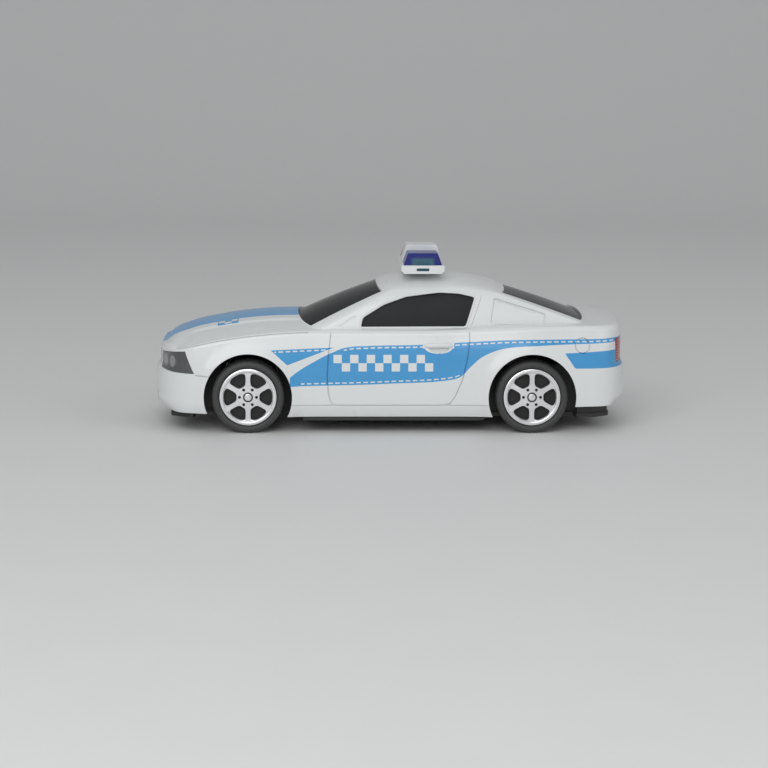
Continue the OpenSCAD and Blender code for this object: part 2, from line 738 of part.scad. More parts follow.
module bar_prism(outline, y0, y1) {
    translate([bar_x, y1, 0])
        rotate([90, 0, 0])
            linear_extrude(y1 - y0) polygon(outline);
}
module light_bar_base() {
    w = bar_w / 2;
    c = bar_chamfer;
    color("white")
    difference() {
        union() {
            bar_prism([[-w, bar_top], [-w, bar_z + c], [c - w, bar_z],
                [w - c, bar_z], [w, bar_z + c], [w, bar_top]],
                -bar_len / 2, bar_len / 2);
            translate([bar_x - foot_w / 2, -foot_len / 2, bar_z - bar_foot_h])
                cube([foot_w, foot_len, bar_foot_h + c]);
            peg_places() translate([0, 0, bar_z - bar_foot_h - peg_len])
                cylinder(d = peg_d, h = peg_len + bar_foot_h);
        }
        both_sides() {
            translate([bar_x - tab_w / 2 - seat_fit, bar_len / 2 - lens_end - tab_t - seat_fit,
                bar_top - tab_len - seat_fit])
                cube([tab_w + 2 * seat_fit, tab_t + 2 * seat_fit, tab_len + over]);
            translate([bar_x - tab_w / 2 - seat_fit, bar_len / 2 - lens_end - tab_t,
                bar_top - tab_len - seat_fit])
                cube([tab_w + 2 * seat_fit, tab_t + lens_end + over, tab_slot_h]);
        }
    }
}
module light_bar_centre() {
    color("white")
    bar_prism(rounded([[-block_foot_w / 2, bar_top], [block_foot_w / 2, bar_top],
        [block_top_w / 2, bar_top + bar_block_h], [-block_top_w / 2, bar_top + bar_block_h]],
        bar_chamfer / 2),
        -bar_block_len / 2, bar_block_len / 2);
}
// Lens with sloping sides and a sloping outer end
module lens_form(inset) {
    y0 = bar_block_len / 2 + seat_fit + inset;
    y1 = bar_len / 2 - lens_end - inset;
    w0 = lens_foot_w / 2 - inset;
    w1 = lens_top_w / 2 - inset;
    z0 = bar_top - (inset > 0 ? over : 0);
    z1 = bar_top + lens_h - inset;
    hip = lens_hip;
    points = [
        [-w0, y0, z0], [w0, y0, z0], [w0, y1, z0], [-w0, y1, z0],
        [-w1, y0, z1], [w1, y0, z1], [w1, y1 - hip, z1], [-w1, y1 - hip, z1]];
    translate([bar_x, 0, 0])
        hull() polyhedron(points,
            [[0, 1, 2, 3], [7, 6, 5, 4], [0, 4, 5, 1], [1, 5, 6, 2], [2, 6, 7, 3], [3, 7, 4, 0]]);
}
module bar_lens(side, tint) {
    color(tint)
    on_side(side) {
        difference() {
            lens_form(0);
            lens_form(lens_wall);
        }
        translate([bar_x - tab_w / 2, bar_len / 2 - lens_end - tab_t, bar_top - tab_len])
            cube([tab_w, tab_t, tab_len + lens_wall]);
    }
}

// Chassis: lengths of the wheel wells, of the end plates and heights of its walls
well_front = 21.5;
well_rear = 18.5;
end_in = 6.6;
end_half = 23;
corner_half = 27.5;
tub_t = 1.2;
tub_h = 4.4;
tub_gap = 1.2;
wall_in = 0.6;
bulkhead_h = 19;
front_bulkhead_h = 23.5;
front_bulkhead_half = 32.6;
well_wall_len = 10;
plan_round = 1.4;
floor_z = chassis_h + floor_t;
// Battery box: clear length and half width, and heights
cells = 3;
cell_gap = 0.4;
contact_room = 3.8;
box_in = 33.2;
box_x = cowl_x + box_in;
box_len = cell_len + contact_room;
box_half = cells * (cell_d + cell_gap) / 2;
cell_z = floor_z + cell_gap + cell_d / 2;
box_top = cell_z + cell_d / 2 + cell_gap;
door_lip = 1.2;
flange_t = 1.2;
flange_w = 2;
door_t = floor_t - 2 * seat_fit;
door_tongue = 5;
door_tongue_half = 4;
// Rear axle's uprights, and the bushes in them
upright_y = 20.6;
upright_t = 2.8;
upright_half = 4.4;
upright_h = 13;
bush_t = 0.9;
bush_flange = 0.6;
// Front axle's ears, posts and cover
ear_r = 4;
post_y = 10;
post_r = 2.6;
knuckle_r = 2.9;
knuckle_lift = 2;
knuckle_z = floor_z + knuckle_lift;
knuckle_h = 11.2;
cover_t = 1.6;
cover_half = 3.9;
cover_z = knuckle_z + knuckle_h + move_gap;
kingpin_x = front_x - trail;
// Screws with countersunk heads
head_h = 1.1;
small_screw_d = 1.8;
small_screw_len = 6;
small_head_d = 3.4;
small_head_h = 1;
door_screw_x = box_x + box_len / 2 + box_wall + door_lip + door_tongue / 2;
// Power switch
switch_x = -2;
switch_y = 29.5;
switch_len = 11;
switch_w = 5;
switch_h = 5;
knob_len = 3.6;
knob_w = 2.2;
switch_travel = 3;
// Motor: length and body, and gear planes across the car
motor_len = 25;
motor_d = 20;
motor_flat = 15;
motor_boss_d = 6;
motor_boss_h = 1.4;
plate_t = 1.5;
plate_y = 6.8;
gear_gap = 0.7;
cover_gap = 0.9;
gear_y = plate_y + plate_t + gear_gap;
pair_y = gear_y + gear_w + gear_gap;
cover_y = pair_y + gear_w + cover_gap;
gear_rise = 30;
gear_fall = 10;
wall_clear = 0.5;
case_t = 1.1;

big_r = gear_m * big_teeth / 2;
small_r = gear_m * small_teeth / 2;
mesh = big_r + small_r + mesh_extra;
idler_x = rear_x - mesh * cos(gear_rise);
idler_z = axle_z + mesh * sin(gear_rise);
motor_x = idler_x - mesh * cos(gear_fall);
motor_z = idler_z - mesh * sin(gear_fall);

// Body screws, seen from below as flat heads in the floor
module flat_screw(d, length, head_d, cone_h) {
    cylinder(d1 = head_d, d2 = d, h = cone_h);
    cylinder(d = d, h = length);
}
module flat_hole(d, head_d, cone_h, depth) {
    cylinder(d1 = head_d + 2 * seat_fit, d2 = d + 2 * seat_fit, h = cone_h);
    cylinder(d = d + 2 * seat_fit, h = depth);
    translate([0, 0, -over]) cylinder(d = head_d + 2 * seat_fit, h = over);
}
module body_screws() {
    color("silver")
    boss_spots() translate([0, 0, chassis_h + seat_fit])
        flat_screw(screw_d, floor_t + screw_len - over, screw_head_d, head_h);
}

// Low walls round the ends of the floor, inside the bumpers
end_wall_front = 3;
end_wall_rear = 6.4;
function end_outline(x0, x1, x2, inset) =
    let (half = [[x0, corner_half - inset], [x1, corner_half - inset], [x2, end_half - inset]])
    concat(half, turned_round(other_side(half)));
module end_wall(x0, x1, x2, way, h) {
    translate([0, 0, floor_z - floor_t / 2])
        linear_extrude(h + floor_t / 2)
            difference() {
                polygon(end_outline(x0 + way * wall_in, x1 - way * wall_in, x2 - way * wall_in, wall_in));
                polygon(end_outline(x0 - way * over, x1 - way * (wall_in + tub_t),
                    x2 - way * (wall_in + tub_t), wall_in + tub_t));
            }
}
function floor_half_outline() = [
    [nose_x + end_in, end_half],
    [nose_x + 2 * end_in, corner_half],
    [front_x - well_front, corner_half],
    [front_x - well_front, front_half],
    [front_x + well_front, front_half],
    [front_x + well_front, floor_half],
    [rear_x - well_rear, floor_half],
    [rear_x - well_rear, rear_half],
    [rear_x + well_rear, rear_half],
    [rear_x + well_rear, corner_half],
    [tail_x - 2 * end_in, corner_half],
    [tail_x - end_in, end_half]];

module floor_plate() {
    half = floor_half_outline();
    translate([0, 0, chassis_h])
        linear_extrude(floor_t) polygon(rounded(concat(half, turned_round(other_side(half))), plan_round));
}
// A low wall standing on the floor
module rib(x0, x1, y0, y1, h) {
    translate([x0, y0, floor_z - floor_t / 2]) cube([x1 - x0, y1 - y0, h + floor_t / 2]);
}
module door_outline(fit) {
    x0 = box_x - box_len / 2 - box_wall - door_lip - fit;
    x1 = box_x + box_len / 2 + box_wall + door_lip + fit;
    y = box_half + box_wall + door_lip + fit;
    polygon(rounded([[x0, -y], [x1, -y], [x1, -door_tongue_half - fit],
        [x1 + door_tongue, -door_tongue_half - fit], [x1 + door_tongue, door_tongue_half + fit],
        [x1, door_tongue_half + fit], [x1, y], [x0, y]], plan_round / 2));
}

module chassis() {
    color("#222222")
    difference() {
        union() {
            floor_plate();
            // Battery box with the flange that carries it
            translate([0, 0, floor_z - floor_t / 2])
                linear_extrude(floor_t / 2 + flange_t) door_outline(flange_w);
            translate([box_x - box_len / 2 - box_wall, -box_half - box_wall, floor_z])
                cube([box_len + 2 * box_wall, 2 * (box_half + box_wall), box_top - floor_z + box_wall]);
            end_wall(front_x - well_front, nose_x + 2 * end_in, nose_x + end_in, -1, end_wall_front);
            end_wall(rear_x + well_rear, tail_x - 2 * end_in, tail_x - end_in, 1, end_wall_rear);
            both_sides() {
                // Tub walls inside the sills, and bulkheads of the wheel wells
                rib(front_x + well_front + wall_in, rear_x - well_rear - wall_in,
                    floor_half - tub_gap - tub_t, floor_half - tub_gap, tub_h);
                rib(front_x + well_front + wall_in, front_x + well_front + wall_in + tub_t,
                    front_half, front_bulkhead_half, front_bulkhead_h);
                rib(front_x - well_front - tub_t - wall_in, front_x - well_front - wall_in,
                    front_half, front_bulkhead_half, front_bulkhead_h);
                rib(front_x + well_front - well_wall_len, front_x + well_front + wall_in + tub_t / 2,
                    front_half - wall_in - tub_t, front_half - wall_in, front_bulkhead_h);
                rib(front_x - well_front - wall_in - tub_t / 2, front_x - well_front + well_wall_len,
                    front_half - wall_in - tub_t, front_half - wall_in, front_bulkhead_h);
                rib(rear_x - well_rear - wall_in, rear_x + well_rear + wall_in,
                    upright_y + upright_t - tub_t - wall_in, upright_y + upright_t - wall_in, bulkhead_h);
                // Uprights of the rear axle
                rib(rear_x - upright_half, rear_x + upright_half,
                    upright_y, upright_y + upright_t, upright_h);
                // Ears under the kingpins and posts of the steering cover
                translate([kingpin_x, kingpin_y, chassis_h]) cylinder(r = ear_r, h = floor_t);
                translate([kingpin_x, kingpin_y, floor_z - floor_t / 2])
                    cylinder(r = knuckle_r, h = knuckle_z - move_gap - floor_z + floor_t / 2);
                translate([kingpin_x - ear_r, post_y, chassis_h])
                    cube([2 * ear_r, kingpin_y - post_y, floor_t]);
                translate([kingpin_x, post_y, floor_z - floor_t / 2])
                    cylinder(r = post_r, h = cover_z - floor_z + floor_t / 2);
            }
            // Cradle of the motor, and the boss for the battery door's screw
            for (y = [plate_y - motor_len + 2 * tub_t, plate_y - 4 * tub_t])
                rib(motor_x - motor_flat / 2, motor_x + motor_flat / 2, y, y + tub_t,
                    motor_z - motor_flat / 2 - floor_z);
            translate([door_screw_x, 0, floor_z]) cylinder(r = post_r, h = small_screw_len);
            // Posts of the circuit board
            for (x = [-1, 1]) for (y = [-1, 1])
                translate([box_x + x * board_len * post_share, y * board_w * post_share, box_top])
                    cylinder(r = post_r / 2, h = box_wall + board_lift);
        }
        translate([box_x - box_len / 2, -box_half, chassis_h - over])
            cube([box_len, 2 * box_half, box_top - chassis_h + over]);
        translate([0, 0, chassis_h - over])
            linear_extrude(floor_t + over) door_outline(seat_fit);
        translate([door_screw_x, 0, chassis_h])
            cylinder(d = small_screw_d + 2 * seat_fit, h = floor_t + small_screw_len - over);
        both_sides() {
            translate([kingpin_x, kingpin_y, chassis_h + seat_fit])
                cylinder(d = kingpin_d + 2 * seat_fit, h = knuckle_z);
            translate([kingpin_x, post_y, cover_z - small_screw_len])
                cylinder(d = small_screw_d + 2 * seat_fit, h = small_screw_len + over);
            translate([rear_x, upright_y - over, axle_z])
                rotate([-90, 0, 0])
                    cylinder(d = axle_d + 2 * (run_fit + bush_t + seat_fit), h = upright_t + 2 * over);
        }
        boss_spots() translate([0, 0, chassis_h])
            flat_hole(screw_d, screw_head_d, head_h + seat_fit, floor_t + over);
        translate([switch_x - (knob_len + switch_travel) / 2 - move_gap, switch_y - knob_w / 2 - move_gap,
            chassis_h - over])
            cube([knob_len + switch_travel + 2 * move_gap, knob_w + 2 * move_gap, floor_t + 2 * over]);
    }
}

module battery_door() {
    color("#2a2a2a")
    difference() {
        translate([0, 0, chassis_h + seat_fit])
            linear_extrude(door_t) door_outline(-seat_fit);
        translate([door_screw_x, 0, chassis_h + seat_fit])
            flat_hole(small_screw_d, small_head_d, small_head_h, floor_t + over);
    }
}
module battery_door_screw() {
    color("silver")
    translate([door_screw_x, 0, chassis_h + 2 * seat_fit])
        flat_screw(small_screw_d, floor_t + small_screw_len - 2 * over, small_head_d, small_head_h);
}

// Battery cells side by side, every second one turned round
button_d = 5.4;
button_len = 1.2;
cell_edge = 0.6;
contact_t = 0.4;
spring_d = 7;
function cell_y(i) = (i - (cells - 1) / 2) * (cell_d + cell_gap);
function cell_way(i) = i % 2 == 0 ? 1 : -1;
cell_shift = (box_len - cell_len) / 2 - contact_t - button_len - seat_fit;
module battery_cells() {
    color("goldenrod")
    for (i = [0 : cells - 1])
        translate([box_x + cell_way(i) * cell_shift, cell_y(i), cell_z])
            rotate([0, cell_way(i) * 90, 0])
                translate([0, 0, -cell_len / 2])
                    rotate_extrude()
                        polygon([[0, 0], [cell_d / 2 - cell_edge, 0], [cell_d / 2, cell_edge],
                            [cell_d / 2, cell_len - cell_edge], [cell_d / 2 - cell_edge, cell_len],
                            [button_d / 2, cell_len], [button_d / 2, cell_len + button_len],
                            [0, cell_len + button_len]]);
}
contact_half = 5;
module battery_contacts() {
    spring_len = box_len - cell_len - button_len - 2 * contact_t - 2 * seat_fit;
    color("silver")
    for (i = [0 : cells - 1]) for (end = [-1, 1])
        translate([box_x + end * (box_len / 2 - seat_fit / 2), cell_y(i), cell_z])
            rotate([0, -90 * end, 0]) {
                translate([-contact_half, -contact_half, 0])
                    cube([2 * contact_half, 2 * contact_half, contact_t]);
                if (end != cell_way(i))
                    cylinder(d1 = spring_d, d2 = button_d, h = contact_t + spring_len);
            }
}

// Circuit board over the battery box
board_len = 40;
board_w = 36;
board_t = 1.2;
board_lift = 1.6;
post_share = 0.44;
board_z = box_top + box_wall + board_lift;
chip_size = [9, 6, 1.6];
can_d = 5;
can_h = 7;
crystal_size = [8, 3.4, 3];
module circuit_board() {
    color("seagreen")
    translate([box_x - board_len / 2, -board_w / 2, board_z]) cube([board_len, board_w, board_t]);
}
module board_components() {
    top = board_z + board_t;
    color("gray")
    {
        for (y = [-1, 1])
            translate([box_x - chip_size.x / 2, y * chip_size.y - chip_size.y / 2, top]) cube(chip_size);
        for (y = [-1, 0, 1])
            translate([box_x + board_len / 4, y * 2 * can_d, top]) cylinder(d = can_d, h = can_h);
        translate([box_x - board_len / 4 - crystal_size.x, -crystal_size.y / 2, top]) cube(crystal_size);
        translate([box_x - board_len / 4 - crystal_size.x / 2, board_w / 4, top])
            cylinder(d = can_d, h = can_h / 2);
    }
}

module power_switch_body() {
    color("#333333")
    difference() {
        translate([switch_x - switch_len / 2, switch_y - switch_w / 2, floor_z])
            cube([switch_len, switch_w, switch_h]);
        translate([switch_x - (knob_len + switch_travel) / 2 - move_gap, switch_y - knob_w / 2 - move_gap,
            floor_z - over])
            cube([knob_len + switch_travel + 2 * move_gap, knob_w + 2 * move_gap, switch_h / 2 + over]);
    }
}
knob_ribs = 3;
module power_switch_knob() {
    z0 = chassis_h + 2 * seat_fit;
    color("black")
    translate([switch_x - switch_travel / 2 - knob_len / 2, switch_y - knob_w / 2, z0])
        difference() {
            cube([knob_len, knob_w, floor_z + switch_h / 2 - move_gap - z0]);
            for (i = [1 : knob_ribs])
                translate([i * knob_len / (knob_ribs + 1) - groove_r, -over, -groove_r])
                    cube([2 * groove_r, knob_w + 2 * over, 2 * groove_r]);
        }
}

// Involute gears
pressure = 20;
tooth_steps = 4;
addendum_share = 0.95;
dedendum_share = 1.25;
backlash = 0.12;
function involute(rb, a) = rb * [cos(a) + a * PI / 180 * sin(a), sin(a) - a * PI / 180 * cos(a)];
function turn(p, a) = [p.x * cos(a) - p.y * sin(a), p.x * sin(a) + p.y * cos(a)];
function tooth_half(teeth) = let (
        r = gear_m * teeth / 2,
        rb = r * cos(pressure),
        ra = r + gear_m * addendum_share,
        rf = r - gear_m * dedendum_share,
        at_r = tan(pressure) * 180 / PI - pressure,
        half = 90 / teeth - backlash / (2 * r) * 180 / PI + at_r,
        a0 = rf > rb ? sqrt(pow(rf / rb, 2) - 1) * 180 / PI : 0,
        a1 = sqrt(pow(ra / rb, 2) - 1) * 180 / PI)
    concat(rf < rb ? [turn([rf, 0], -half)] : [],
        [for (i = [0 : tooth_steps]) turn(involute(rb, mix(a0, a1, i / tooth_steps)), -half)]);
function gear_outline(teeth) = let (h = tooth_half(teeth), n = len(h))
    [for (i = [0 : teeth - 1])
        for (p = concat(h, [for (j = [n - 1 : -1 : 0]) [h[j].x, -h[j].y]])) turn(p, i * 360 / teeth)];
// A gear whose axis runs across the car; its first tooth points along the given angle in side view
module gear(teeth, w, x, z, y, angle) {
    translate([x, y, z])
        rotate([-90, 0, 0])
            rotate(-angle)
                linear_extrude(w) polygon(gear_outline(teeth));
}
module across(d, x, z, y0, y1) {
    translate([x, y0, z]) rotate([-90, 0, 0]) cylinder(d = d, h = y1 - y0);
}
// Turn of the meshing gears so that a tooth meets a gap along each line of centres
half_small = 180 / small_teeth;

gear_hub_r = 1.8;
hub_r = 3.1;
hub_inner_y = upright_y + upright_t + move_gap;
module axle_gear() {
    color("ivory")
    difference() {
        union() {
            gear(big_teeth, gear_w, rear_x, axle_z, pair_y, 180 - gear_rise);
            across(2 * gear_hub_r, rear_x, axle_z, gear_y, pair_y + gear_w);
        }
        across(axle_d + run_fit, rear_x, axle_z, gear_y - over, pair_y + gear_w + over);
    }
}
module reduction_gear() {
    color("ivory")
    difference() {
        union() {
            gear(small_teeth, pair_y + gear_w - gear_y - gear_w, idler_x, idler_z, gear_y + gear_w,
                half_small - gear_rise);
            gear(small_teeth, gear_w, idler_x, idler_z, pair_y, half_small - gear_rise);
            gear(big_teeth, gear_w, idler_x, idler_z, gear_y, 180 + gear_fall);
        }
        across(shaft_d + 2 * run_fit, idler_x, idler_z, gear_y - over, cover_y);
    }
}
module reduction_shaft() {
    color("silver")
    across(shaft_d, idler_x, idler_z, plate_y, cover_y + plate_t);
}
module pinion_gear() {
    color("khaki")
    difference() {
        gear(small_teeth, gear_w, motor_x, motor_z, gear_y, half_small + gear_fall);
        across(axle_d + run_fit, motor_x, motor_z, gear_y - over, pair_y);
    }
}
module motor_shaft() {
    color("silver")
    across(axle_d, motor_x, motor_z, plate_y - motor_len / 2, gear_y + gear_w);
}
module motor() {
    color("gray")
    difference() {
        union() {
            intersection() {
                across(motor_d, motor_x, motor_z, plate_y - motor_len, plate_y);
                translate([motor_x - motor_d, plate_y - motor_len - over, motor_z - motor_flat / 2])
                    cube([2 * motor_d, motor_len + 2 * over, motor_flat]);
            }
            across(motor_boss_d, motor_x, motor_z,
                plate_y - motor_len - motor_boss_h, plate_y + motor_boss_h);
        }
        across(axle_d + 2 * run_fit, motor_x, motor_z,
            plate_y - motor_len / 2 - seat_fit, plate_y + 2 * motor_boss_h);
    }
}
// Outline of the gearbox in side view, grown by a margin
module gear_case(margin) {
    tip = big_r + gear_m * addendum_share + wall_clear + margin;
    hull() {
        translate([rear_x, -axle_z]) circle(tip);
        translate([idler_x, -idler_z]) circle(tip);
    }
    hull() {
        translate([idler_x, -idler_z]) circle(tip);
        translate([motor_x, -motor_z]) circle(small_r + gear_m + wall_clear + margin + case_t);
    }
}
module case_slab(y0, y1, margin) {
    translate([0, y0, 0]) rotate([-90, 0, 0]) linear_extrude(y1 - y0) gear_case(margin);
}
case_screws = [[idler_x, idler_z + big_r + 2 * case_t], [rear_x + big_r + case_t, axle_z + big_r / 2]];
module case_lugs(y0, y1) {
    for (p = case_screws) across(2 * post_r - case_t, p.x, p.y, y0, y1);
}
module case_bores() {
    across(axle_d + 2 * move_gap, rear_x, axle_z, 0, door_w / 2);
    for (p = case_screws) across(small_screw_d + 2 * seat_fit, p.x, p.y, 0, door_w / 2);
}
module below_floor() {
    translate([nose_x, -door_w, -floor_z]) cube([body_len, 2 * door_w, 2 * floor_z]);
}
module gearbox_housing() {
    color("#d8d8d0")
    difference() {
        union() {
            difference() {
                case_slab(plate_y, cover_y, case_t);
                case_slab(plate_y + plate_t, cover_y + over, 0);
            }
            case_lugs(plate_y, cover_y);
        }
        below_floor();
        case_slab(plate_y + plate_t, cover_y, 0);
        case_bores();
        across(motor_boss_d + 2 * seat_fit, motor_x, motor_z, 0, plate_y + plate_t + over);
        across(shaft_d + seat_fit, idler_x, idler_z, 0, door_w / 2);
    }
}
module gearbox_cover() {
    color("#d0d0c8")
    difference() {
        union() {
            case_slab(cover_y, cover_y + plate_t, case_t);
            case_lugs(cover_y, cover_y + plate_t);
        }
        below_floor();
        case_bores();
        across(shaft_d + seat_fit, idler_x, idler_z, 0, door_w / 2);
    }
}
module gearbox_screws() {
    color("silver")
    for (p = case_screws) {
        across(small_screw_d, p.x, p.y, cover_y + plate_t - small_screw_len, cover_y + plate_t);
        across(small_head_d, p.x, p.y, cover_y + plate_t, cover_y + plate_t + small_head_h);
    }
}

// Wheels: places across the car, and the rounding of the tyre
wheel_out = door_w / 2 - wheel_inset;
wheel_mid = wheel_out - tyre_w / 2;
rim_r = rim_d / 2;
tyre_round = 1.8;
tyre_bead = 0.7;
tread_groove = 0.5;
tread_groove_w = 0.9;
tread_place_share = 0.28;
rim_sink = 0.3;
rim_lip = 2;
window_low_r = 4.8;
window_edge = 0.9;
lug_r = 3.4;
lug_d = 1.1;
cap_r = 1.4;
cap_groove = 0.5;
boss_out = 2.2;
web_t = 2;
web_in = 0.6;
axle_head_d = 3.8;
axle_head_t = 0.7;

module at_wheel(x, side) {
    on_side(side)
        translate([x, wheel_mid, axle_z])
            rotate([-90, 0, 0])
                children();
}
function tyre_half() = let (h = tyre_w / 2, r = tyre_d / 2, g = h * tread_place_share * 2)
    concat([[rim_r + seat_fit / 2, h - 2 * tyre_bead], [rim_r + tyre_bead, h - tyre_bead / 2]],
        [[rim_r + 2 * tyre_bead, h]],
        [for (a = [0 : 22.5 : 90]) [r - tyre_round * (1 - sin(a)), h - tyre_round * (1 - cos(a))]],
        [[r, g], [r - tread_groove, g - tread_groove_w / 4], [r - tread_groove, g - tread_groove_w * 3 / 4],
            [r, g - tread_groove_w]]);
module tyre(x, side) {
    half = tyre_half();
    n = len(half);
    color("#3a3a3a")
    at_wheel(x, side)
        rotate_extrude($fn = 72)
            polygon(concat(half, [for (i = [n - 1 : -1 : 0]) [half[i].x, -half[i].y]]));
}
// One opening between two spokes
module spoke_window() {
    high = rim_r - rim_lip;
    a0 = 180 / spokes - asin(spoke_w / 2 / window_low_r);
    a1 = 180 / spokes - asin(spoke_w / 2 / high);
    polygon(rounded(concat(
        [for (k = [-1, 0, 1]) window_low_r * [cos(a0 * k), sin(a0 * k)]],
        [for (k = [1, 0.5, 0, -0.5, -1]) high * [cos(a1 * k), sin(a1 * k)]]), window_edge));
}
module rim(x, side) {
    h = tyre_w / 2;
    face = h - rim_sink - spoke_t;
    color("gainsboro")
    at_wheel(x, side)
        difference() {
            union() {
                translate([0, 0, face])
                    linear_extrude(spoke_t)
                        difference() {
                            circle(rim_r);
                            for (i = [0 : spokes - 1]) rotate(i * 360 / spokes) {
                                spoke_window();
                                translate([lug_r, 0]) circle(d = lug_d, $fn = 16);
                            }
                        }
                rotate_extrude()
                    polygon([[rim_r - barrel_t, -h + tyre_bead], [rim_r, -h + tyre_bead],
                        [rim_r, face + over / 2], [rim_r - barrel_t, face + over / 2]]);
            }
            translate([0, 0, face + spoke_t - cap_groove])
                rotate_extrude()
                    translate([cap_r, 0]) square([cap_groove, 2 * cap_groove]);
        }
}
module hub(x, side, fit) {
    r = axle_d / 2 + fit;
    y0 = hub_inner_y - wheel_mid;
    web = web_in + web_t;
    color("#1c1c1c")
    at_wheel(x, side)
        rotate_extrude()
            polygon([[r, y0], [hub_r, y0], [hub_r, web_in], [rim_r - barrel_t - seat_fit, web_in],
                [rim_r - barrel_t - seat_fit, web - seat_fit], [hub_r, web - seat_fit],
                [hub_r, boss_out], [r, boss_out]]);
}
module stub_axle(side) {
    on_side(side) color("silver") {
        across(axle_d, front_x, axle_z, kingpin_y - knuckle_r,
            wheel_mid + boss_out + seat_fit + axle_head_t / 2);
        across(axle_head_d, front_x, axle_z, wheel_mid + boss_out + seat_fit,
            wheel_mid + boss_out + seat_fit + axle_head_t);
    }
}
module rear_axle() {
    color("silver")
    across(axle_d, rear_x, axle_z, -wheel_mid - boss_out, wheel_mid + boss_out);
}
module rear_bushes() {
    d = axle_d + 2 * run_fit;
    color("peru")
    both_sides()
        difference() {
            union() {
                across(d + 2 * bush_t, rear_x, axle_z, upright_y, upright_y + upright_t);
                across(d + 4 * bush_t, rear_x, axle_z, upright_y - bush_flange, upright_y);
            }
            across(d, rear_x, axle_z, upright_y - bush_flange - over, upright_y + upright_t + over);
        }
}

// Steering: block round the stub axle, arm with its pin, and the rod that joins both arms
block_half = 2.6;
arm_w = 3.6;
arm_t = 2;
pin_d = 1.8;
pin_h = 1.7;
rod_t = 1.6;
rod_gap = 0.3;
slot_play = 0.6;
pin_fit = 0.15;
rod_w = 4.8;
rod_end = 2;
module steering_knuckle(side) {
    color("#262626")
    on_side(side)
        difference() {
            union() {
                translate([kingpin_x, kingpin_y, knuckle_z]) cylinder(r = knuckle_r, h = knuckle_h);
                translate([kingpin_x, kingpin_y - knuckle_r, axle_z - block_half])
                    cube([trail + block_half, 2 * knuckle_r, 2 * block_half]);
                translate([kingpin_x, kingpin_y - arm_w / 2, knuckle_z]) cube([arm_len, arm_w, arm_t]);
                translate([kingpin_x + arm_len, kingpin_y, knuckle_z]) cylinder(d = arm_w, h = arm_t);
                translate([kingpin_x + arm_len, kingpin_y, knuckle_z])
                    cylinder(d = pin_d, h = arm_t + pin_h + rod_gap);
            }
            translate([kingpin_x, kingpin_y, knuckle_z - over])
                cylinder(d = kingpin_d + 2 * run_fit, h = knuckle_h + 2 * over);
            across(axle_d + run_fit, front_x, axle_z, 0, door_w / 2);
        }
}
module tie_rod() {
    z = knuckle_z + arm_t + rod_gap;
    color("#303030")
    difference() {
        translate([kingpin_x + arm_len - rod_w / 2, -kingpin_y - rod_end, z])
            cube([rod_w, 2 * (kingpin_y + rod_end), rod_t]);
        both_sides()
            translate([kingpin_x + arm_len, kingpin_y, z - over]) {
                for (x = [-slot_play, slot_play])
                    translate([x, 0, 0]) cylinder(d = pin_d + 2 * pin_fit, h = rod_t + 2 * over);
                translate([-slot_play, -pin_d / 2 - pin_fit, 0])
                    cube([2 * slot_play, pin_d + 2 * pin_fit, rod_t + 2 * over]);
            }
    }
}
module kingpins() {
    color("silver")
    both_sides()
        translate([kingpin_x, kingpin_y, chassis_h + 2 * seat_fit])
            cylinder(d = kingpin_d, h = cover_z + cover_t - chassis_h - 2 * seat_fit);
}
module steering_cover() {
    color("#2c2c2c")
    difference() {
        union() {
            translate([kingpin_x - cover_half, -kingpin_y, cover_z])
                cube([2 * cover_half, 2 * kingpin_y, cover_t]);
            both_sides() translate([kingpin_x, kingpin_y, cover_z]) cylinder(r = cover_half, h = cover_t);
        }
        both_sides() {
            translate([kingpin_x, kingpin_y, cover_z - over])
                cylinder(d = kingpin_d + 2 * seat_fit, h = cover_t + 2 * over);
            translate([kingpin_x, post_y, cover_z - over])
                cylinder(d = small_screw_d + 2 * seat_fit, h = cover_t + 2 * over);
        }
    }
}
module steering_screws() {
    color("silver")
    both_sides() translate([kingpin_x, post_y, 0]) {
        translate([0, 0, cover_z + cover_t - small_screw_len])
            cylinder(d = small_screw_d, h = small_screw_len);
        translate([0, 0, cover_z + cover_t]) cylinder(d = small_head_d, h = small_head_h);
    }
}

body_shell();
window_insert();
grille_insert();
headlight_reflectors();
headlight_lens(-1);  // headlight_lens_left
headlight_lens(1);  // headlight_lens_right
tail_light_lens(-1);  // tail_light_lens_left
tail_light_lens(1);  // tail_light_lens_right
light_bar_base();
light_bar_centre();
bar_lens(-1, "blue");  // light_bar_lens_blue
bar_lens(1, "red");  // light_bar_lens_red
body_screws();
chassis();
battery_door();
battery_door_screw();
battery_cells();
battery_contacts();
circuit_board();
board_components();
power_switch_body();
power_switch_knob();
motor();
motor_shaft();
pinion_gear();
gearbox_housing();
gearbox_cover();
gearbox_screws();
reduction_gear();
reduction_shaft();
axle_gear();
rear_axle();
rear_bushes();
tyre(front_x, -1);  // front_left_tyre
rim(front_x, -1);  // front_left_rim
hub(front_x, -1, run_fit);  // front_left_hub
tyre(front_x, 1);  // front_right_tyre
rim(front_x, 1);  // front_right_rim
hub(front_x, 1, run_fit);  // front_right_hub
tyre(rear_x, -1);  // rear_left_tyre
rim(rear_x, -1);  // rear_left_rim
hub(rear_x, -1, run_fit / 2);  // rear_left_hub
tyre(rear_x, 1);  // rear_right_tyre
rim(rear_x, 1);  // rear_right_rim
hub(rear_x, 1, run_fit / 2);  // rear_right_hub
stub_axle(-1);  // stub_axle_left
stub_axle(1);  // stub_axle_right
steering_knuckle(-1);  // steering_knuckle_left
steering_knuckle(1);  // steering_knuckle_right
kingpins();
tie_rod();
steering_cover();
steering_screws();
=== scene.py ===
"""Toy police car: the visible surfaces of shell, glazing and wheels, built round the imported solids."""

import json

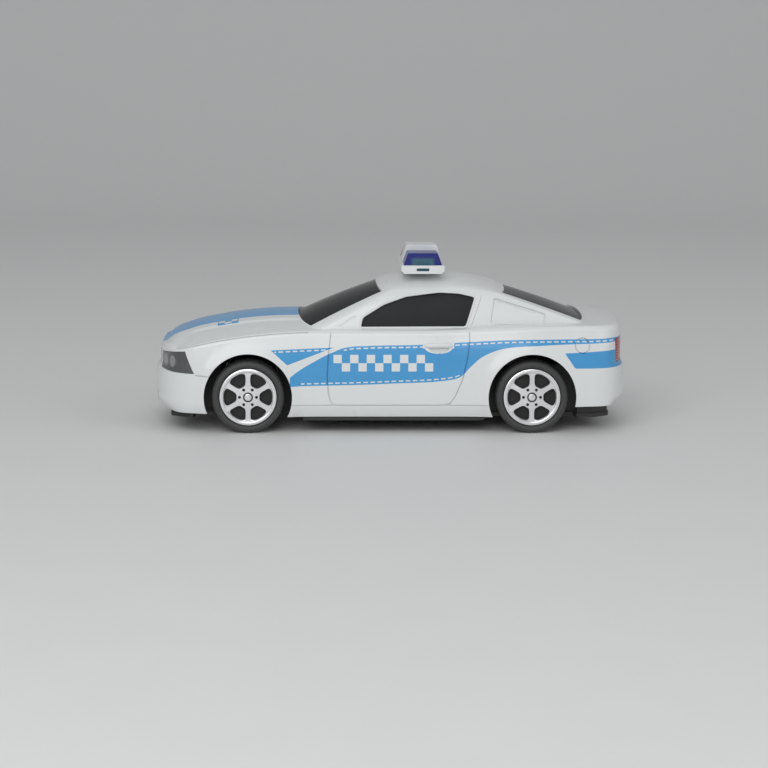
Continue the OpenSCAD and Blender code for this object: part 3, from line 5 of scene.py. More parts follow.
import bmesh
import bpy
import numpy as np
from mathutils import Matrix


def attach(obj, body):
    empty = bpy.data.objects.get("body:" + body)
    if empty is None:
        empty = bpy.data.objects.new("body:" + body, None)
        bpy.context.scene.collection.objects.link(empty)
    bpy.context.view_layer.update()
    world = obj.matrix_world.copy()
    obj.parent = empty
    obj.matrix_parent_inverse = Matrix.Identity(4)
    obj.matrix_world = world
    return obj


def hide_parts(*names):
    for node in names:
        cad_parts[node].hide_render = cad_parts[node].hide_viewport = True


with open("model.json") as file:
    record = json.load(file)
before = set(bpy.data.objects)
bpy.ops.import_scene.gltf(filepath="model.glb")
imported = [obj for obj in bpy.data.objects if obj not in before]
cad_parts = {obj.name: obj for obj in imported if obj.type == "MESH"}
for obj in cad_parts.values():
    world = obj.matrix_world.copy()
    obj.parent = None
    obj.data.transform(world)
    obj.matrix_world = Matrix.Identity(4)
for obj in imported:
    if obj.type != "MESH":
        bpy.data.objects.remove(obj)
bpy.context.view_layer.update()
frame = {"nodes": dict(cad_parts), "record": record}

bl_info = {
    "name": "Toy police car",
    "version": (1, 0, 0),
    "blender": (4, 5, 0),
    "location": "View3D > Sidebar > Toy car",
    "description": "Builds the shell, glazing, wheels, lamps and finishes of a toy police car",
    "category": "Object",
}

# The surfaces are worked out in millimetres and put into the meshes in metres.
MM = 0.001
# Points closer than this are merged, and edges shorter than this collapse, in metres
MERGE, COLLAPSE = 1e-6, 1e-7


# Plain helpers

def mix(a, b, k):
    """The value a share k of the way from a to b."""
    return a + (b - a) * k


def smooth(k):
    """A share that eases in and out: 3k squared less 2k cubed, held between 0 and 1."""
    c = np.clip(k, 0, 1)
    return c * c * (3 - 2 * c)


def swell(k):
    """A hump of height 1 at k = 0 that falls to 0 at k = -1 and k = 1: (1 - k squared) squared."""
    return np.where(np.abs(k) < 1, (1 - k * k) ** 2, 0)


def power(base, e):
    """A power of a number that rounding may have made slightly negative."""
    return np.clip(base, 0, None) ** e


def grid(*parts):
    """Three broadcast arrays joined as points."""
    return np.stack(np.broadcast_arrays(*parts), axis=-1).astype(float)


# Shell surfaces

class Shell:
    """Outlines and surfaces of the body and the cabin, in millimetres."""

    nose_power, tail_power = 3.0, 3.6
    turn_from, turn_to = 0.38, 0.72
    fender_run, belt_run, spine_in = 65.0, 62.0, 12.0
    bonnet_power, fender_power, bow_power = 2.2, 2.0, 2.5
    waist_low, waist_high, sill_tuck, side_lean = 13.0, 22.0, 1.7, 2.2
    bumper_low, bumper_high, bumper_step, chin_tuck, nose_setback = 13.0, 23.0, 2.4, 3.0, 1.8
    tail_low, tail_high, tail_step, tail_tuck, tail_setback = 15.0, 25.0, 3.0, 3.4, 1.2
    flare_reach, plateau_half, plateau_edge = 5.0, 21.0, 2.4
    plateau_from, plateau_in, plateau_past, plateau_out = 10.0, 8.0, 4.0, 3.0
    screen_bow, screen_head_bow, back_bow, back_head_bow = 12.0, 5.0, 5.0, 5.0
    roof_drops = (2.8, 5.1, 1.4)
    roof_fall_front, roof_fall_rear, crown = 3.4, 5.6, 0.4
    cabin_foot_h, cabin_depth = 41.4, 6.0
    side_bulge, screen_bulge = 0.7, 0.9
    cabin_taper, roof_taper = 4.6, 1.4
    glass_round, roof_round = 0.16, 0.2
    # Search for a point on the side glass: steps, their lengths, then start and limits of station and share
    search_steps, search_run, search_rise = 40, 80.0, 14.0
    search_start, search_s, search_k = (1.5, 0.4), (0.8, 2.2), (-0.4, 1.0)

    def __init__(self, sizes):
        for name in sizes.bl_rna.properties.keys():
            value = getattr(sizes, name)
            if isinstance(value, float):
                setattr(self, name, value / MM)
        self.nose_x, self.tail_x = -self.body_len / 2, self.body_len / 2
        self.front_x = self.nose_x + self.front_overhang
        self.rear_x = self.front_x + self.wheelbase
        self.axle_z = self.tyre_d / 2
        self.cowl_x = self.nose_x + self.screen_foot
        self.roof_front = self.cowl_x + self.screen_run
        self.roof_rear = self.roof_front + self.roof_len
        self.deck_x = self.roof_rear + self.back_run

    def half_w(self, x):
        """Half width: the door's, plus a swell round each axle."""
        return (self.door_w / 2 + self.front_swell * swell((x - self.front_x) / self.swell_reach)
                + self.rear_swell * swell((x - self.rear_x) / self.swell_reach))

    def plan(self, s, d):
        """Half outline at inset d: superellipse corners for s 0 to 1 and 2 to 3, the side between."""
        s, d = np.broadcast_arrays(np.asarray(s, float), np.asarray(d, float))
        x1, x2 = self.nose_x + self.nose_corner, self.tail_x - self.tail_corner
        q, e = np.clip(s, 0, 1) * np.pi / 2, 2 / self.nose_power
        nose = (x1 - (self.nose_corner - d) * power(np.cos(q), e),
                (self.half_w(x1) - d) * power(np.sin(q), e))
        x = mix(x1, x2, s - 1)
        side = (x, self.half_w(x) - d)
        q, e = np.clip(s - 2, 0, 1) * np.pi / 2, 2 / self.tail_power
        tail = (x2 + (self.tail_corner - d) * power(np.sin(q), e),
                (self.half_w(x2) - d) * power(np.cos(q), e))
        return [np.where(s < 1, n, np.where(s <= 2, m, t)) for n, m, t in zip(nose, side, tail)]

    def front_part(self, s):
        """1 across the nose, easing to 0 round its corner."""
        return 1 - smooth((s - self.turn_from) / (self.turn_to - self.turn_from))

    def rear_part(self, s):
        """1 across the tail, easing to 0 round its corner."""
        return 1 - smooth((3 - s - self.turn_from) / (self.turn_to - self.turn_from))

    def wall_inset(self, s, z):
        """Draw-in of the wall: tucked under at the sill, leaning above the waist, stepped at the bumpers."""
        def below(low, end):
            return np.clip((low - z) / (low - end), 0, 1) ** 2
        f, r = self.front_part(s), self.rear_part(s)
        lean = np.clip((z - self.waist_high) / (self.belt_h - self.waist_high), 0, None)
        side = self.sill_tuck * below(self.waist_low, self.sill_h) + self.side_lean * lean ** 2
        front = (self.chin_tuck * below(self.bumper_low, self.front_lip_h)
                 + self.nose_setback * smooth((z - self.bumper_high) / self.bumper_step))
        rear = (self.tail_tuck * below(self.tail_low, self.rear_lip_h)
                + self.tail_setback * smooth((z - self.tail_high) / self.tail_step))
        return (1 - f - r) * side + f * front + r * rear

    def flare(self, s, x, z):
        """Outward lip round the wheel arches: it fades with the distance from the arch's edge."""
        near = np.minimum(np.hypot(x - self.front_x, z - self.axle_z),
                          np.hypot(x - self.rear_x, z - self.axle_z))
        return ((1 - self.front_part(s) - self.rear_part(s)) * self.arch_flare
                * smooth(1 - (near - self.arch_r) / self.flare_reach))

    def edge_z(self, s):
        """Height of the shoulder: a parabola along the fender, a slow rise to the tail."""
        x = self.plan(s, 0)[0]
        climb = 1 - power(1 - np.clip((x - self.nose_x) / self.fender_run, 0, 1), self.fender_power)
        rise_from = self.tail_x - self.tail_corner - self.belt_run
        return (self.fender_nose_h + (self.belt_h - self.fender_nose_h) * climb
                + self.belt_rise * smooth((x - rise_from) / self.belt_run)
                + (self.nose_h - self.fender_nose_h) * self.front_part(s))

    def lip_z(self, s):
        """Height of the shell's lower edge: the bumpers' past the axles, the sill's between them."""
        x = self.plan(s, 0)[0]
        behind = np.where(x > self.rear_x, self.rear_lip_h, self.sill_h)
        return np.where(x < self.front_x, self.front_lip_h, behind)

    def spine(self, s):
        """Middle line of bonnet and boot lid: place along the car and height."""
        x = self.plan(s, 0)[0]
        nose = self.nose_x + mix(self.spine_in, self.nose_corner, (x - self.nose_x) / self.nose_corner)
        tail = self.tail_x - mix(self.spine_in, self.tail_corner, (self.tail_x - x) / self.tail_corner)
        sx = np.where(s < 1, nose, np.where(s > 2, tail, x))
        rise = 1 - power(1 - (sx - self.nose_x) / (self.cowl_x - self.nose_x), self.bonnet_power)
        bonnet = self.nose_h + (self.cowl_h - self.nose_h) * rise
        deck = mix(self.cowl_h, self.deck_h, smooth((sx - self.cowl_x) / (self.deck_x - self.cowl_x)))
        return sx, np.where(sx < self.cowl_x, bonnet, deck)

    def wall(self, s, z, d):
        """A point on the wall at station s and height z."""
        x, y = self.plan(s, d + self.wall_inset(s, z))
        return grid(x, y + self.flare(s, x, z) * np.sign(y), z)

    def side_station(self, x):
        """Station of a place along the straight part of the side."""
        straight = self.body_len - self.nose_corner - self.tail_corner
        return 1 + (x - self.nose_x - self.nose_corner) / straight

    def tail_station(self, x):
        """Station of a place along the car, on the tail's corner or on the side before it."""
        start = self.tail_x - self.tail_corner
        turn = np.clip((x - start) / self.tail_corner, 0, 1)
        corner = 2 + np.arcsin(turn ** (self.tail_power / 2)) / (np.pi / 2)
        return np.where(x < start, self.side_station(x), corner)

    def side(self, x, z, d=0.0):
        """A point on the flank at a place along the car and a height."""
        return self.wall(self.side_station(np.asarray(x, float)), np.asarray(z, float), d)

    def stations(self, nose, side, tail):
        """Stations from nose to tail: so many on the nose's corner, the side and the tail's corner."""
        return np.concatenate([np.arange(nose) / nose, 1 + np.arange(side) / side,
                               2 + np.arange(tail + 1) / tail])

    def body(self, d, drop, stations, walls, arcs, tops):
        """Half of the body as columns from lip to spine: the wall, a quarter arc, then a parabola."""
        s = self.stations(*stations)[:, None]
        ze = self.edge_z(s) - d
        zt, zb = ze - self.shoulder_r, self.lip_z(s) - drop
        w = self.wall_inset(s, zt)
        low = self.wall(s, mix(zb, zt, np.linspace(0, 1, walls)[None]), d)
        a = np.linspace(0, np.pi / 2, arcs + 1)[None, 1:]
        x, y = self.plan(s, d + w + self.shoulder_r * (1 - np.cos(a)))
        z = zt + self.shoulder_r * np.sin(a)
        arc = grid(x, y + self.flare(s, x, z) * np.sign(y), z)
        k = np.linspace(0, 1, tops + 1)[None, 1:]
        ex, ey = self.plan(s, d + w + self.shoulder_r)
        sx, sz = self.spine(s)
        x, y = mix(ex, sx, k), ey * (1 - k)
        lift = self.plateau_h * smooth((self.plateau_half - np.abs(y)) / self.plateau_edge)
        lift = lift * smooth((x - self.nose_x - self.plateau_from) / self.plateau_in)
        lift = lift * smooth((self.cowl_x + self.plateau_past - x) / self.plateau_out)
        top = grid(x, y, ze + (sz - d - ze) * (1 - (1 - k) ** 2) + (lift if d == 0 else 0))
        return np.concatenate([low, arc, top], axis=1)

    def bowed(self, s, x0, x1, bow0, bow1, w0, w1):
        """Half outline with a bowed front, a straight side and a bowed rear."""
        e = 2 / self.bow_power
        q = np.clip(s, 0, 1) * np.pi / 2
        front = (x0 + bow0 * (1 - power(np.cos(q), e)), w0 * power(np.sin(q), e))
        side = (mix(x0 + bow0, x1 - bow1, s - 1), mix(w0, w1, s - 1))
        q = np.clip(s - 2, 0, 1) * np.pi / 2
        rear = (x1 - bow1 * (1 - power(np.sin(q), e)), w1 * power(np.cos(q), e))
        return [np.where(s < 1, f, np.where(s <= 2, m, r)) for f, m, r in zip(front, side, rear)]

    def roof_line(self, x):
        """Height of the roof's middle line: parabolas that fall from the crown to both ends."""
        xc = mix(self.roof_front, self.roof_rear, self.crown)
        front = self.roof_fall_front * ((xc - x) / (xc - self.roof_front)) ** 2
        rear = self.roof_fall_rear * ((x - xc) / (self.roof_rear - xc)) ** 2
        return self.roof_h - np.where(x < xc, front, rear)

    def foot(self, s, d):
        """Foot of the glass: on the shoulder at the sides, on bonnet and boot lid at the ends."""
        x, y = self.bowed(s, self.cowl_x + d, self.deck_x - d, self.screen_bow, self.back_bow,
                          self.cabin_half - d, self.cabin_half - self.cabin_taper - d)
        across = 1 - (y / (self.cabin_half - d)) ** 2
        side = self.cabin_foot_h + self.belt_rise * smooth((x - self.cowl_x) / (self.deck_x - self.cowl_x))
        end = np.where(s < 1, self.cowl_h, self.deck_h)
        return grid(x, y, np.where((s < 1) | (s > 2), mix(side, end, across), side) - d)

    def head(self, s, d):
        """Edge of the roof: the roof line less a drop that grows as the square of the place across."""
        x, y = self.bowed(s, self.roof_front, self.roof_rear, self.screen_head_bow, self.back_head_bow,
                          self.roof_half - d, self.roof_half - self.roof_taper - d)
        k = np.clip((x - self.roof_front) / self.roof_len, 0, 1)
        drop = np.interp(k, [0, self.crown, 1], self.roof_drops)
        return grid(x, y, self.roof_line(x) - drop * (y / (self.roof_half - d)) ** 2 - d)

    def glass(self, s, k, d):
        """A point a share k up the glass, with the glass bulging outwards between foot and head."""
        s, k = np.broadcast_arrays(np.asarray(s, float), np.asarray(k, float))
        a, b = self.foot(s, d), self.head(s, d)
        across = np.where(s < 1, 1 - np.sin(np.clip(s, 0, 1) * np.pi / 2),
                          np.where(s > 2, 1 - np.cos(np.clip(s - 2, 0, 1) * np.pi / 2), 0))
        bulge = 4 * k * (1 - k)
        out = grid(0 * k, (1 - across) * self.side_bulge * bulge * np.sign(a[..., 1]),
                   across * self.screen_bulge * bulge)
        return mix(a, b, k[..., None]) + out

    def roof(self, s, k, d):
        """A point a share k from the roof's edge to its middle line."""
        s, k = np.broadcast_arrays(np.asarray(s, float), np.asarray(k, float))
        a = self.head(s, d)
        xs = np.clip((a[..., 0] - self.roof_front) / self.roof_len, 0, 1)
        cx = mix(self.roof_front + self.screen_head_bow, self.roof_rear - self.back_head_bow, xs)
        cz = self.roof_line(cx) - d
        z = a[..., 2] + (cz - a[..., 2]) * (1 - (1 - k) ** 2)
        return grid(mix(a[..., 0], cx, k), a[..., 1] * (1 - k), z)

    def cabin(self, d, stations, glass, rounds, roofs):
        """Half of the cabin as columns: the glass, a rounded edge that bends to the roof, then the roof."""
        s = self.stations(*stations)[:, None]
        a = self.glass(s, 1 - self.glass_round, d)
        b = self.head(s, d)
        c = self.roof(s, self.roof_round, d)
        k = np.linspace(0, 1, rounds)[None, :, None]
        bend = a * (1 - k) ** 2 + b * 2 * k * (1 - k) + c * k * k
        sunk = self.foot(s, d) - [0, 0, self.cabin_depth]
        up = np.linspace(0, 1 - self.glass_round, glass)[None, :-1]
        inwards = np.linspace(self.roof_round, 1, roofs)[None, 1:]
        return np.concatenate([sunk, self.glass(s, up, d), bend, self.roof(s, inwards, d)], axis=1)

    def cabin_side(self, x, z, d=0.0):
        """A point on the side glass at a place along the car and a height, found by stepping towards it."""
        x, z = np.broadcast_arrays(np.asarray(x, float), np.asarray(z, float))
        s, k = (np.full(x.shape, start) for start in self.search_start)
        for _ in range(self.search_steps):
            p = self.glass(s, k, d)
            s = np.clip(s + (x - p[..., 0]) / self.search_run, *self.search_s)
            k = np.clip(k + (z - p[..., 2]) / self.search_rise, *self.search_k)
        return self.glass(s, k, d)


# Meshes

def quads(n, m, wrap_u=False, wrap_v=False):
    """Faces of a grid of n by m points; a wrapped direction joins its last row to its first."""
    rows, columns = np.arange(n if wrap_u else n - 1), np.arange(m if wrap_v else m - 1)
    i, j = np.meshgrid(rows, columns, indexing="ij")
    i2, j2 = (i + 1) % n, (j + 1) % m
    return np.stack([i * m + j, i2 * m + j, i2 * m + j2, i * m + j2], axis=-1).reshape(-1, 4)


def new_object(name, points, faces):
    """An object at the origin over points in millimetres, its doubles merged, its faces turned outwards."""
    mesh = bpy.data.meshes.new(name)
    spots = (np.asarray(points).reshape(-1, 3) * MM).tolist()
    mesh.from_pydata(spots, [], [list(map(int, f)) for f in faces])
    work = bmesh.new()
    work.from_mesh(mesh)
    bmesh.ops.remove_doubles(work, verts=work.verts, dist=MERGE)
    bmesh.ops.dissolve_degenerate(work, edges=work.edges, dist=COLLAPSE)
    bmesh.ops.recalc_face_normals(work, faces=work.faces)
    work.to_mesh(mesh)
    work.free()
    obj = bpy.data.objects.new(name, mesh)
    bpy.context.scene.collection.objects.link(obj)
    return obj


def from_halves(name, half):
    """A closed solid over columns of one half and their mirror images."""
    ring = np.concatenate([half, half[:, -2::-1] * [1, -1, 1]], axis=1)
    return new_object(name, ring, quads(*ring.shape[:2], wrap_v=True))


def prism(name, outline, low, high):
    """A closed solid between two outlines of equally many points, each lifted by its own function."""
    n = len(outline)
    faces = [list(range(n)), list(range(n, 2 * n))] + quads(2, n, wrap_v=True).tolist()
    return new_object(name, np.concatenate([low(outline), high(outline)]), faces)


def slab(name, outer, inner):
    """A closed solid between two grids of points, one a wall thickness behind the other."""
    n, m = outer.shape[:2]
    sheet = quads(n, m)
    count = n * m

    def rim(line):
        line = np.asarray(line)
        return np.stack([line[:-1], line[1:], line[1:] + count, line[:-1] + count], axis=-1)

    index = np.arange(count).reshape(n, m)
    edges = [rim(line) for line in (index[0], index[-1], index[:, 0], index[:, -1])]
    faces = np.concatenate([sheet, sheet + count, *edges])
    return new_object(name, np.concatenate([outer.reshape(-1, 3), inner.reshape(-1, 3)]), faces)


def tube(name, path, radius, sides=8, closed=False, squash=1.0):
    """A round bar along a path: at each point a circle across the path's direction, with capped ends."""
    path = np.asarray(path, float)
    if closed:
        ahead, behind = np.roll(path, -1, 0), np.roll(path, 1, 0)
    else:
        ahead, behind = np.vstack([path[1:], path[-1:]]), np.vstack([path[:1], path[:-1]])
    way = ahead - behind
    way /= np.linalg.norm(way, axis=1, keepdims=True)
    side = np.cross(way, [0.0, 1.0, 0.0])
    nearly_across = np.linalg.norm(side, axis=1, keepdims=True) < 0.2
    side = np.where(nearly_across, np.cross(way, [0.0, 0.0, 1.0]), side)
    side /= np.linalg.norm(side, axis=1, keepdims=True)
    up = np.cross(side, way)
    a = np.arange(sides) * 2 * np.pi / sides
    r = np.broadcast_to(np.asarray(radius, float), (len(path),))[:, None, None]
    ring = path[:, None] + r * (np.cos(a)[None, :, None] * side[:, None]
                                + squash * np.sin(a)[None, :, None] * up[:, None])
    faces = quads(len(path), sides, wrap_u=closed, wrap_v=True).tolist()
    if not closed:
        last = (len(path) - 1) * sides
        faces += [list(range(sides)), list(range(last, last + sides))]
    return new_object(name, ring, faces)


def revolve(name, profile, centre, turns=96, closed=True):
    """A profile of (radius, place along Y) pairs turned about an axis through centre along Y."""
    profile = np.asarray(profile, float)
    a = np.arange(turns)[:, None] * 2 * np.pi / turns
    ring = grid(centre[0] + profile[None, :, 0] * np.cos(a), centre[1] + profile[None, :, 1],
                centre[2] + profile[None, :, 0] * np.sin(a))
    return new_object(name, ring, quads(turns, len(profile), wrap_u=True, wrap_v=closed))


def rounded(points, r, steps=5):
    """An outline whose corners are cut back by r and bent round with short curves."""
    p = np.asarray(points, float)

    def towards(q):
        way = q - p
        far = np.linalg.norm(way, axis=1, keepdims=True)
        return p + np.minimum(r, 0.48 * far) * way / far

    a, c = towards(np.roll(p, 1, 0)), towards(np.roll(p, -1, 0))
    k = np.linspace(0, 1, steps)[None, :, None]
    return (a[:, None] * (1 - k) ** 2 + p[:, None] * 2 * k * (1 - k) + c[:, None] * k * k).reshape(-1, 2)


def along(points, count, closed=False):
    """Points spaced evenly along a broken line."""
    p = np.asarray(points, float)
    if closed:
        p = np.vstack([p, p[:1]])
    t = np.concatenate([[0], np.cumsum(np.linalg.norm(np.diff(p, axis=0), axis=1))])
    at = np.linspace(0, t[-1], count, endpoint=not closed)
    return np.stack([np.interp(at, t, p[:, i]) for i in range(p.shape[1])], axis=-1)


def combine(base, tool, operation):
    """Joins a solid to base, or cuts it away, and removes the tool."""
    change = base.modifiers.new("Join", "BOOLEAN")
    change.solver, change.operation, change.object = "MANIFOLD", operation, tool
    result = bpy.data.meshes.new_from_object(base.evaluated_get(bpy.context.evaluated_depsgraph_get()))
    base.modifiers.clear()
    old, base.data = base.data, result
    name = old.name
    bpy.data.meshes.remove(old)
    result.name = name
    bpy.data.objects.remove(tool)
    if not result.polygons:
        raise RuntimeError(f"{base.name} came out empty")


def cut(base, tool):
    """Cuts a solid away from base."""
    combine(base, tool, "DIFFERENCE")


def join(name, objects):
    """One object that holds the meshes of several."""
    work = bmesh.new()
    for o in objects:
        work.from_mesh(o.data)
        bpy.data.objects.remove(o)
    mesh = bpy.data.meshes.new(name)
    work.to_mesh(mesh)
    work.free()
    obj = bpy.data.objects.new(name, mesh)
    bpy.context.scene.collection.objects.link(obj)
    return obj


def place(obj, body, material, angle=35.0, replaces=()):
    """Shades a finished piece, gives it its material and hangs it on its body."""
    obj.data.shade_smooth()
    obj.data.set_sharp_from_angle(angle=np.radians(angle))
    even = obj.modifiers.new("Even shading", "WEIGHTED_NORMAL")
    even.keep_sharp = True
    obj.data.materials.clear()
    obj.data.materials.append(material)
    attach(obj, body)
    if replaces:
        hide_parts(*replaces)


def soften(node, width, angle=25.0, segments=2):
    """Rounds the edges of a CAD node: its flat faces are joined, then its sharp edges bevelled."""
    obj = frame["nodes"][node]
    weld = obj.modifiers.new("Weld", "WELD")
    weld.merge_threshold = 2e-6
    flat = obj.modifiers.new("Flat faces", "DECIMATE")
    flat.decimate_type, flat.angle_limit = "DISSOLVE", np.radians(1.0)
    bevel = obj.modifiers.new("Rounded edges", "BEVEL")
    bevel.width, bevel.segments, bevel.limit_method = width * MM, segments, "ANGLE"
    bevel.angle_limit, bevel.harden_normals = np.radians(angle), False


# Finishes

def feed(tree, socket, value):
    """Puts a number, a colour or another node's output on a socket."""
    if isinstance(value, bpy.types.NodeSocket):
        tree.links.new(value, socket)
    else:
        socket.default_value = value


def add(tree, kind, values=None, **settings):
    """A node with its settings; each value is a number, a colour or the socket that feeds it."""
    node = tree.nodes.new(kind)
    for key, value in settings.items():
        setattr(node, key, value)
    for key, value in (values or {}).items():
        feed(tree, node.inputs[key], value)
    return node


def calc(tree, operation, a, b=0.0):
    """The result of a Math node."""
    return add(tree, "ShaderNodeMath", {0: a, 1: b}, operation=operation).outputs[0]


def times(tree, product, *others):
    """The product of several values."""
    for value in others:
        product = calc(tree, "MULTIPLY", product, value)
    return product


def most(tree, largest, *others):
    """The largest of several values."""
    for value in others:
        largest = calc(tree, "MAXIMUM", largest, value)
    return largest


def above(tree, value, low):
    """1 where a value is larger than another."""
    return calc(tree, "GREATER_THAN", value, low)


def below(tree, value, high):
    """1 where a value is smaller than another."""
    return calc(tree, "LESS_THAN", value, high)


def between(tree, value, low, high):
    """1 where a value lies between two others."""
    return times(tree, above(tree, value, low), below(tree, value, high))


def repeats(tree, value, pitch, share):
    """1 over the first share of every pitch along a value."""
    return below(tree, calc(tree, "FRACT", calc(tree, "DIVIDE", value, pitch)), share)


def places(tree):
    """Places along, across and up the car, in millimetres."""
    where = add(tree, "ShaderNodeTexCoord").outputs["Object"]
    parts = add(tree, "ShaderNodeSeparateXYZ", {0: where}).outputs
    return [calc(tree, "DIVIDE", part, MM) for part in parts]


def blend(tree, mask, a, b):
    """A colour that goes from a to b as the mask goes from 0 to 1."""
    node = add(tree, "ShaderNodeMix", {0: mask}, data_type="RGBA")
    feed(tree, node.inputs[6], a)
    feed(tree, node.inputs[7], b)
    return node.outputs[2]


def new_group(name, inputs, outputs):
    """An empty shader node group with named inputs, at their usual values, and named outputs."""
    group = bpy.data.node_groups.new(name, "ShaderNodeTree")
    for label, usual in inputs.items():
        socket = group.interface.new_socket(label, in_out="INPUT", socket_type="NodeSocketFloat")
        socket.default_value = usual
    for label in outputs:
        group.interface.new_socket(label, in_out="OUTPUT", socket_type="NodeSocketFloat")
    return group, group.nodes.new("NodeGroupInput"), group.nodes.new("NodeGroupOutput")


def grain_group():
    """Fine grain of a moulded surface: height from a fine noise, and a drift in tone and in gloss from a
    broad one.
    """
    name = "Moulded grain"
    if name in bpy.data.node_groups:
        return bpy.data.node_groups[name]
    usual = {"Scale": 900.0, "Drift": 0.04}
    group, inside, outside = new_group(name, usual, ("Height", "Tone", "Gloss"))
    where = add(group, "ShaderNodeTexCoord").outputs["Object"]
    scale = inside.outputs["Scale"]
    fine = add(group, "ShaderNodeTexNoise", {"Vector": where, "Scale": scale, "Detail": 4.0})
    broad = add(group, "ShaderNodeTexNoise", {"Vector": where, "Scale": 45.0, "Detail": 3.0})
    off = calc(group, "SUBTRACT", broad.outputs["Fac"], 0.5)
    drift = calc(group, "MULTIPLY", off, inside.outputs["Drift"])
    group.links.new(fine.outputs["Fac"], outside.inputs["Height"])
    group.links.new(calc(group, "ADD", drift, 1.0), outside.inputs["Tone"])
    group.links.new(off, outside.inputs["Gloss"])
    return group


def dash_group():
    """Printed dashes: 1 where the place across lies in a thin line and the place along in a dash."""
    name = "Printed dashes"
    if name in bpy.data.node_groups:
        return bpy.data.node_groups[name]
    usual = {"Along": 0.0, "Across": 0.0, "Middle": 0.0, "Width": 0.5, "Pitch": 2.8, "Share": 0.64}
    group, inside, outside = new_group(name, usual, ("Mask",))
    take = inside.outputs
    off = calc(group, "ABSOLUTE", calc(group, "SUBTRACT", take["Across"], take["Middle"]))
    line = below(group, off, calc(group, "MULTIPLY", take["Width"], 0.5))
    dash = repeats(group, take["Along"], take["Pitch"], take["Share"])
    group.links.new(times(group, line, dash), outside.inputs["Mask"])
    return group


def new_material(name):
    """An empty material: its tree and its Principled shader."""
    material = bpy.data.materials.new(name)
    material.use_nodes = True
    tree = material.node_tree
    return material, tree, tree.nodes["Principled BSDF"]


def toned(tree, colour, tone):
    """A colour multiplied by a tone."""
    plain = colour if isinstance(colour, bpy.types.NodeSocket) else tuple(colour)[:3]
    node = add(tree, "ShaderNodeVectorMath", {0: plain, 1: tone}, operation="MULTIPLY")
    return node.outputs[0]


def finish(tree, shader, colour, rough, grain, depth, drift=0.04):
    """Colour, gloss and grain of a moulded surface on its shader."""
    values = {"Scale": grain, "Drift": drift}
    surface = add(tree, "ShaderNodeGroup", values, node_tree=grain_group()).outputs
    tree.links.new(toned(tree, colour, surface["Tone"]), shader.inputs["Base Color"])
    gloss = calc(tree, "MULTIPLY", surface["Gloss"], 0.5 * rough)
    tree.links.new(calc(tree, "ADD", gloss, rough), shader.inputs["Roughness"])
    values = {"Strength": 0.4, "Distance": depth * MM, "Height": surface["Height"]}
    bump = add(tree, "ShaderNodeBump", values)
    tree.links.new(bump.outputs["Normal"], shader.inputs["Normal"])


def moulded(name, colour, rough=0.35, grain=900.0, depth=0.02, metallic=0.0, coat=0.0, ior=1.5):
    """A moulded or metal finish, made once; its name sets it apart from the frame's plain materials."""
    label = name + "_finish"
    if label in bpy.data.materials:
        return bpy.data.materials[label]
    material, tree, shader = new_material(label)
    shader.inputs["Metallic"].default_value = metallic
    shader.inputs["Coat Weight"].default_value = coat
    shader.inputs["Coat Roughness"].default_value = 0.06
    shader.inputs["IOR"].default_value = ior
    finish(tree, shader, colour, rough, grain, depth)
    return material


def shell_white(colours):
    """White of the shell where it has no print."""
    return moulded("frame_white", colours.shell, 0.3, 260.0, 0.01, coat=0.35)


def window_smoke(colours):
    """Smoked plastic of the windows."""
    return moulded("smoked_window", colours.window, 0.16, 120.0, 0.004, ior=1.12)


def tyre_black(colours):
    """Dull rubber of the tyres."""
    return moulded("tyre_rubber", colours.tyre, 0.62, 1500.0, 0.03)


def rim_metal(colours):
    """Bright silver of the rims."""
    return moulded("rim_silver", colours.rim, 0.24, 1800.0, 0.004, metallic=0.7, coat=0.2)


# Field of the printed curves: its start along the car, its length and its height
FIELD_START, FIELD_LEN, FIELD_H = -100.0, 200.0, 50.0


def curve_of(tree, x, points, bend="VECTOR"):
    """A height that follows points along the car, in millimetres, as a Float Curve over the field."""
    share = calc(tree, "DIVIDE", calc(tree, "SUBTRACT", x, FIELD_START), FIELD_LEN)
    node = add(tree, "ShaderNodeFloatCurve", {"Value": share})
    line = node.mapping.curves[0]
    spots = [((px - FIELD_START) / FIELD_LEN, pz / FIELD_H) for px, pz in points]
    for point, spot in zip(line.points, (spots[0], spots[-1])):
        point.location = spot
    for spot in spots[1:-1]:
        line.points.new(*spot)
    for point in line.points:
        point.handle_type = bend
    node.mapping.update()
    return calc(tree, "MULTIPLY", node.outputs[0], FIELD_H)


# Printed bands on the flanks, as (place along the car, height) pairs
BAND_TOP = [(-40.4, 22.6), (-36.0, 25.8), (-31.2, 28.6), (-23.0, 32.7), (-17.2, 34.6), (-9.0, 35.1),
            (12.7, 35.6), (30.2, 36.6), (46.0, 37.5), (82.3, 37.9), (96.0, 38.0)]
BAND_LOW = [(-40.4, 19.0), (-0.9, 20.1), (25.0, 21.9), (27.3, 22.8), (31.4, 26.9), (38.4, 32.1),
            (46.0, 34.4), (60.0, 35.4), (82.3, 36.2), (96.0, 36.4)]
FLASH_TOP = [(-47.9, 33.4), (-23.0, 34.4)]
FLASH_LOW = [(-47.9, 33.4), (-41.4, 27.5), (-23.0, 34.4)]
PATCH_TOP = [(68.8, 32.3), (82.3, 33.0), (96.0, 33.4)]
PATCH_LOW = [(68.8, 32.3), (72.9, 26.3), (96.0, 26.3)]
# Their stretches along the car
BAND_ENDS, FLASH_ENDS, PATCH_ENDS = (-40.4, 95.5), (-47.9, -23.0), (68.8, 95.5)
# A flank lies past the first place across the car, and near the tail past the second
FLANK_HALF, TAIL_HALF, TAIL_FROM = 30.0, 16.0, 60.0
# Rows of white dashes: how far inside the edges they run, and their stretches along the car
DASH_IN, FLASH_DASH_IN = 0.9, 0.8
UPPER_FROM, LOWER_ENDS, FLASH_DASH_ENDS = -19.0, (-36.0, 27.0), (-46.5, -26.0)
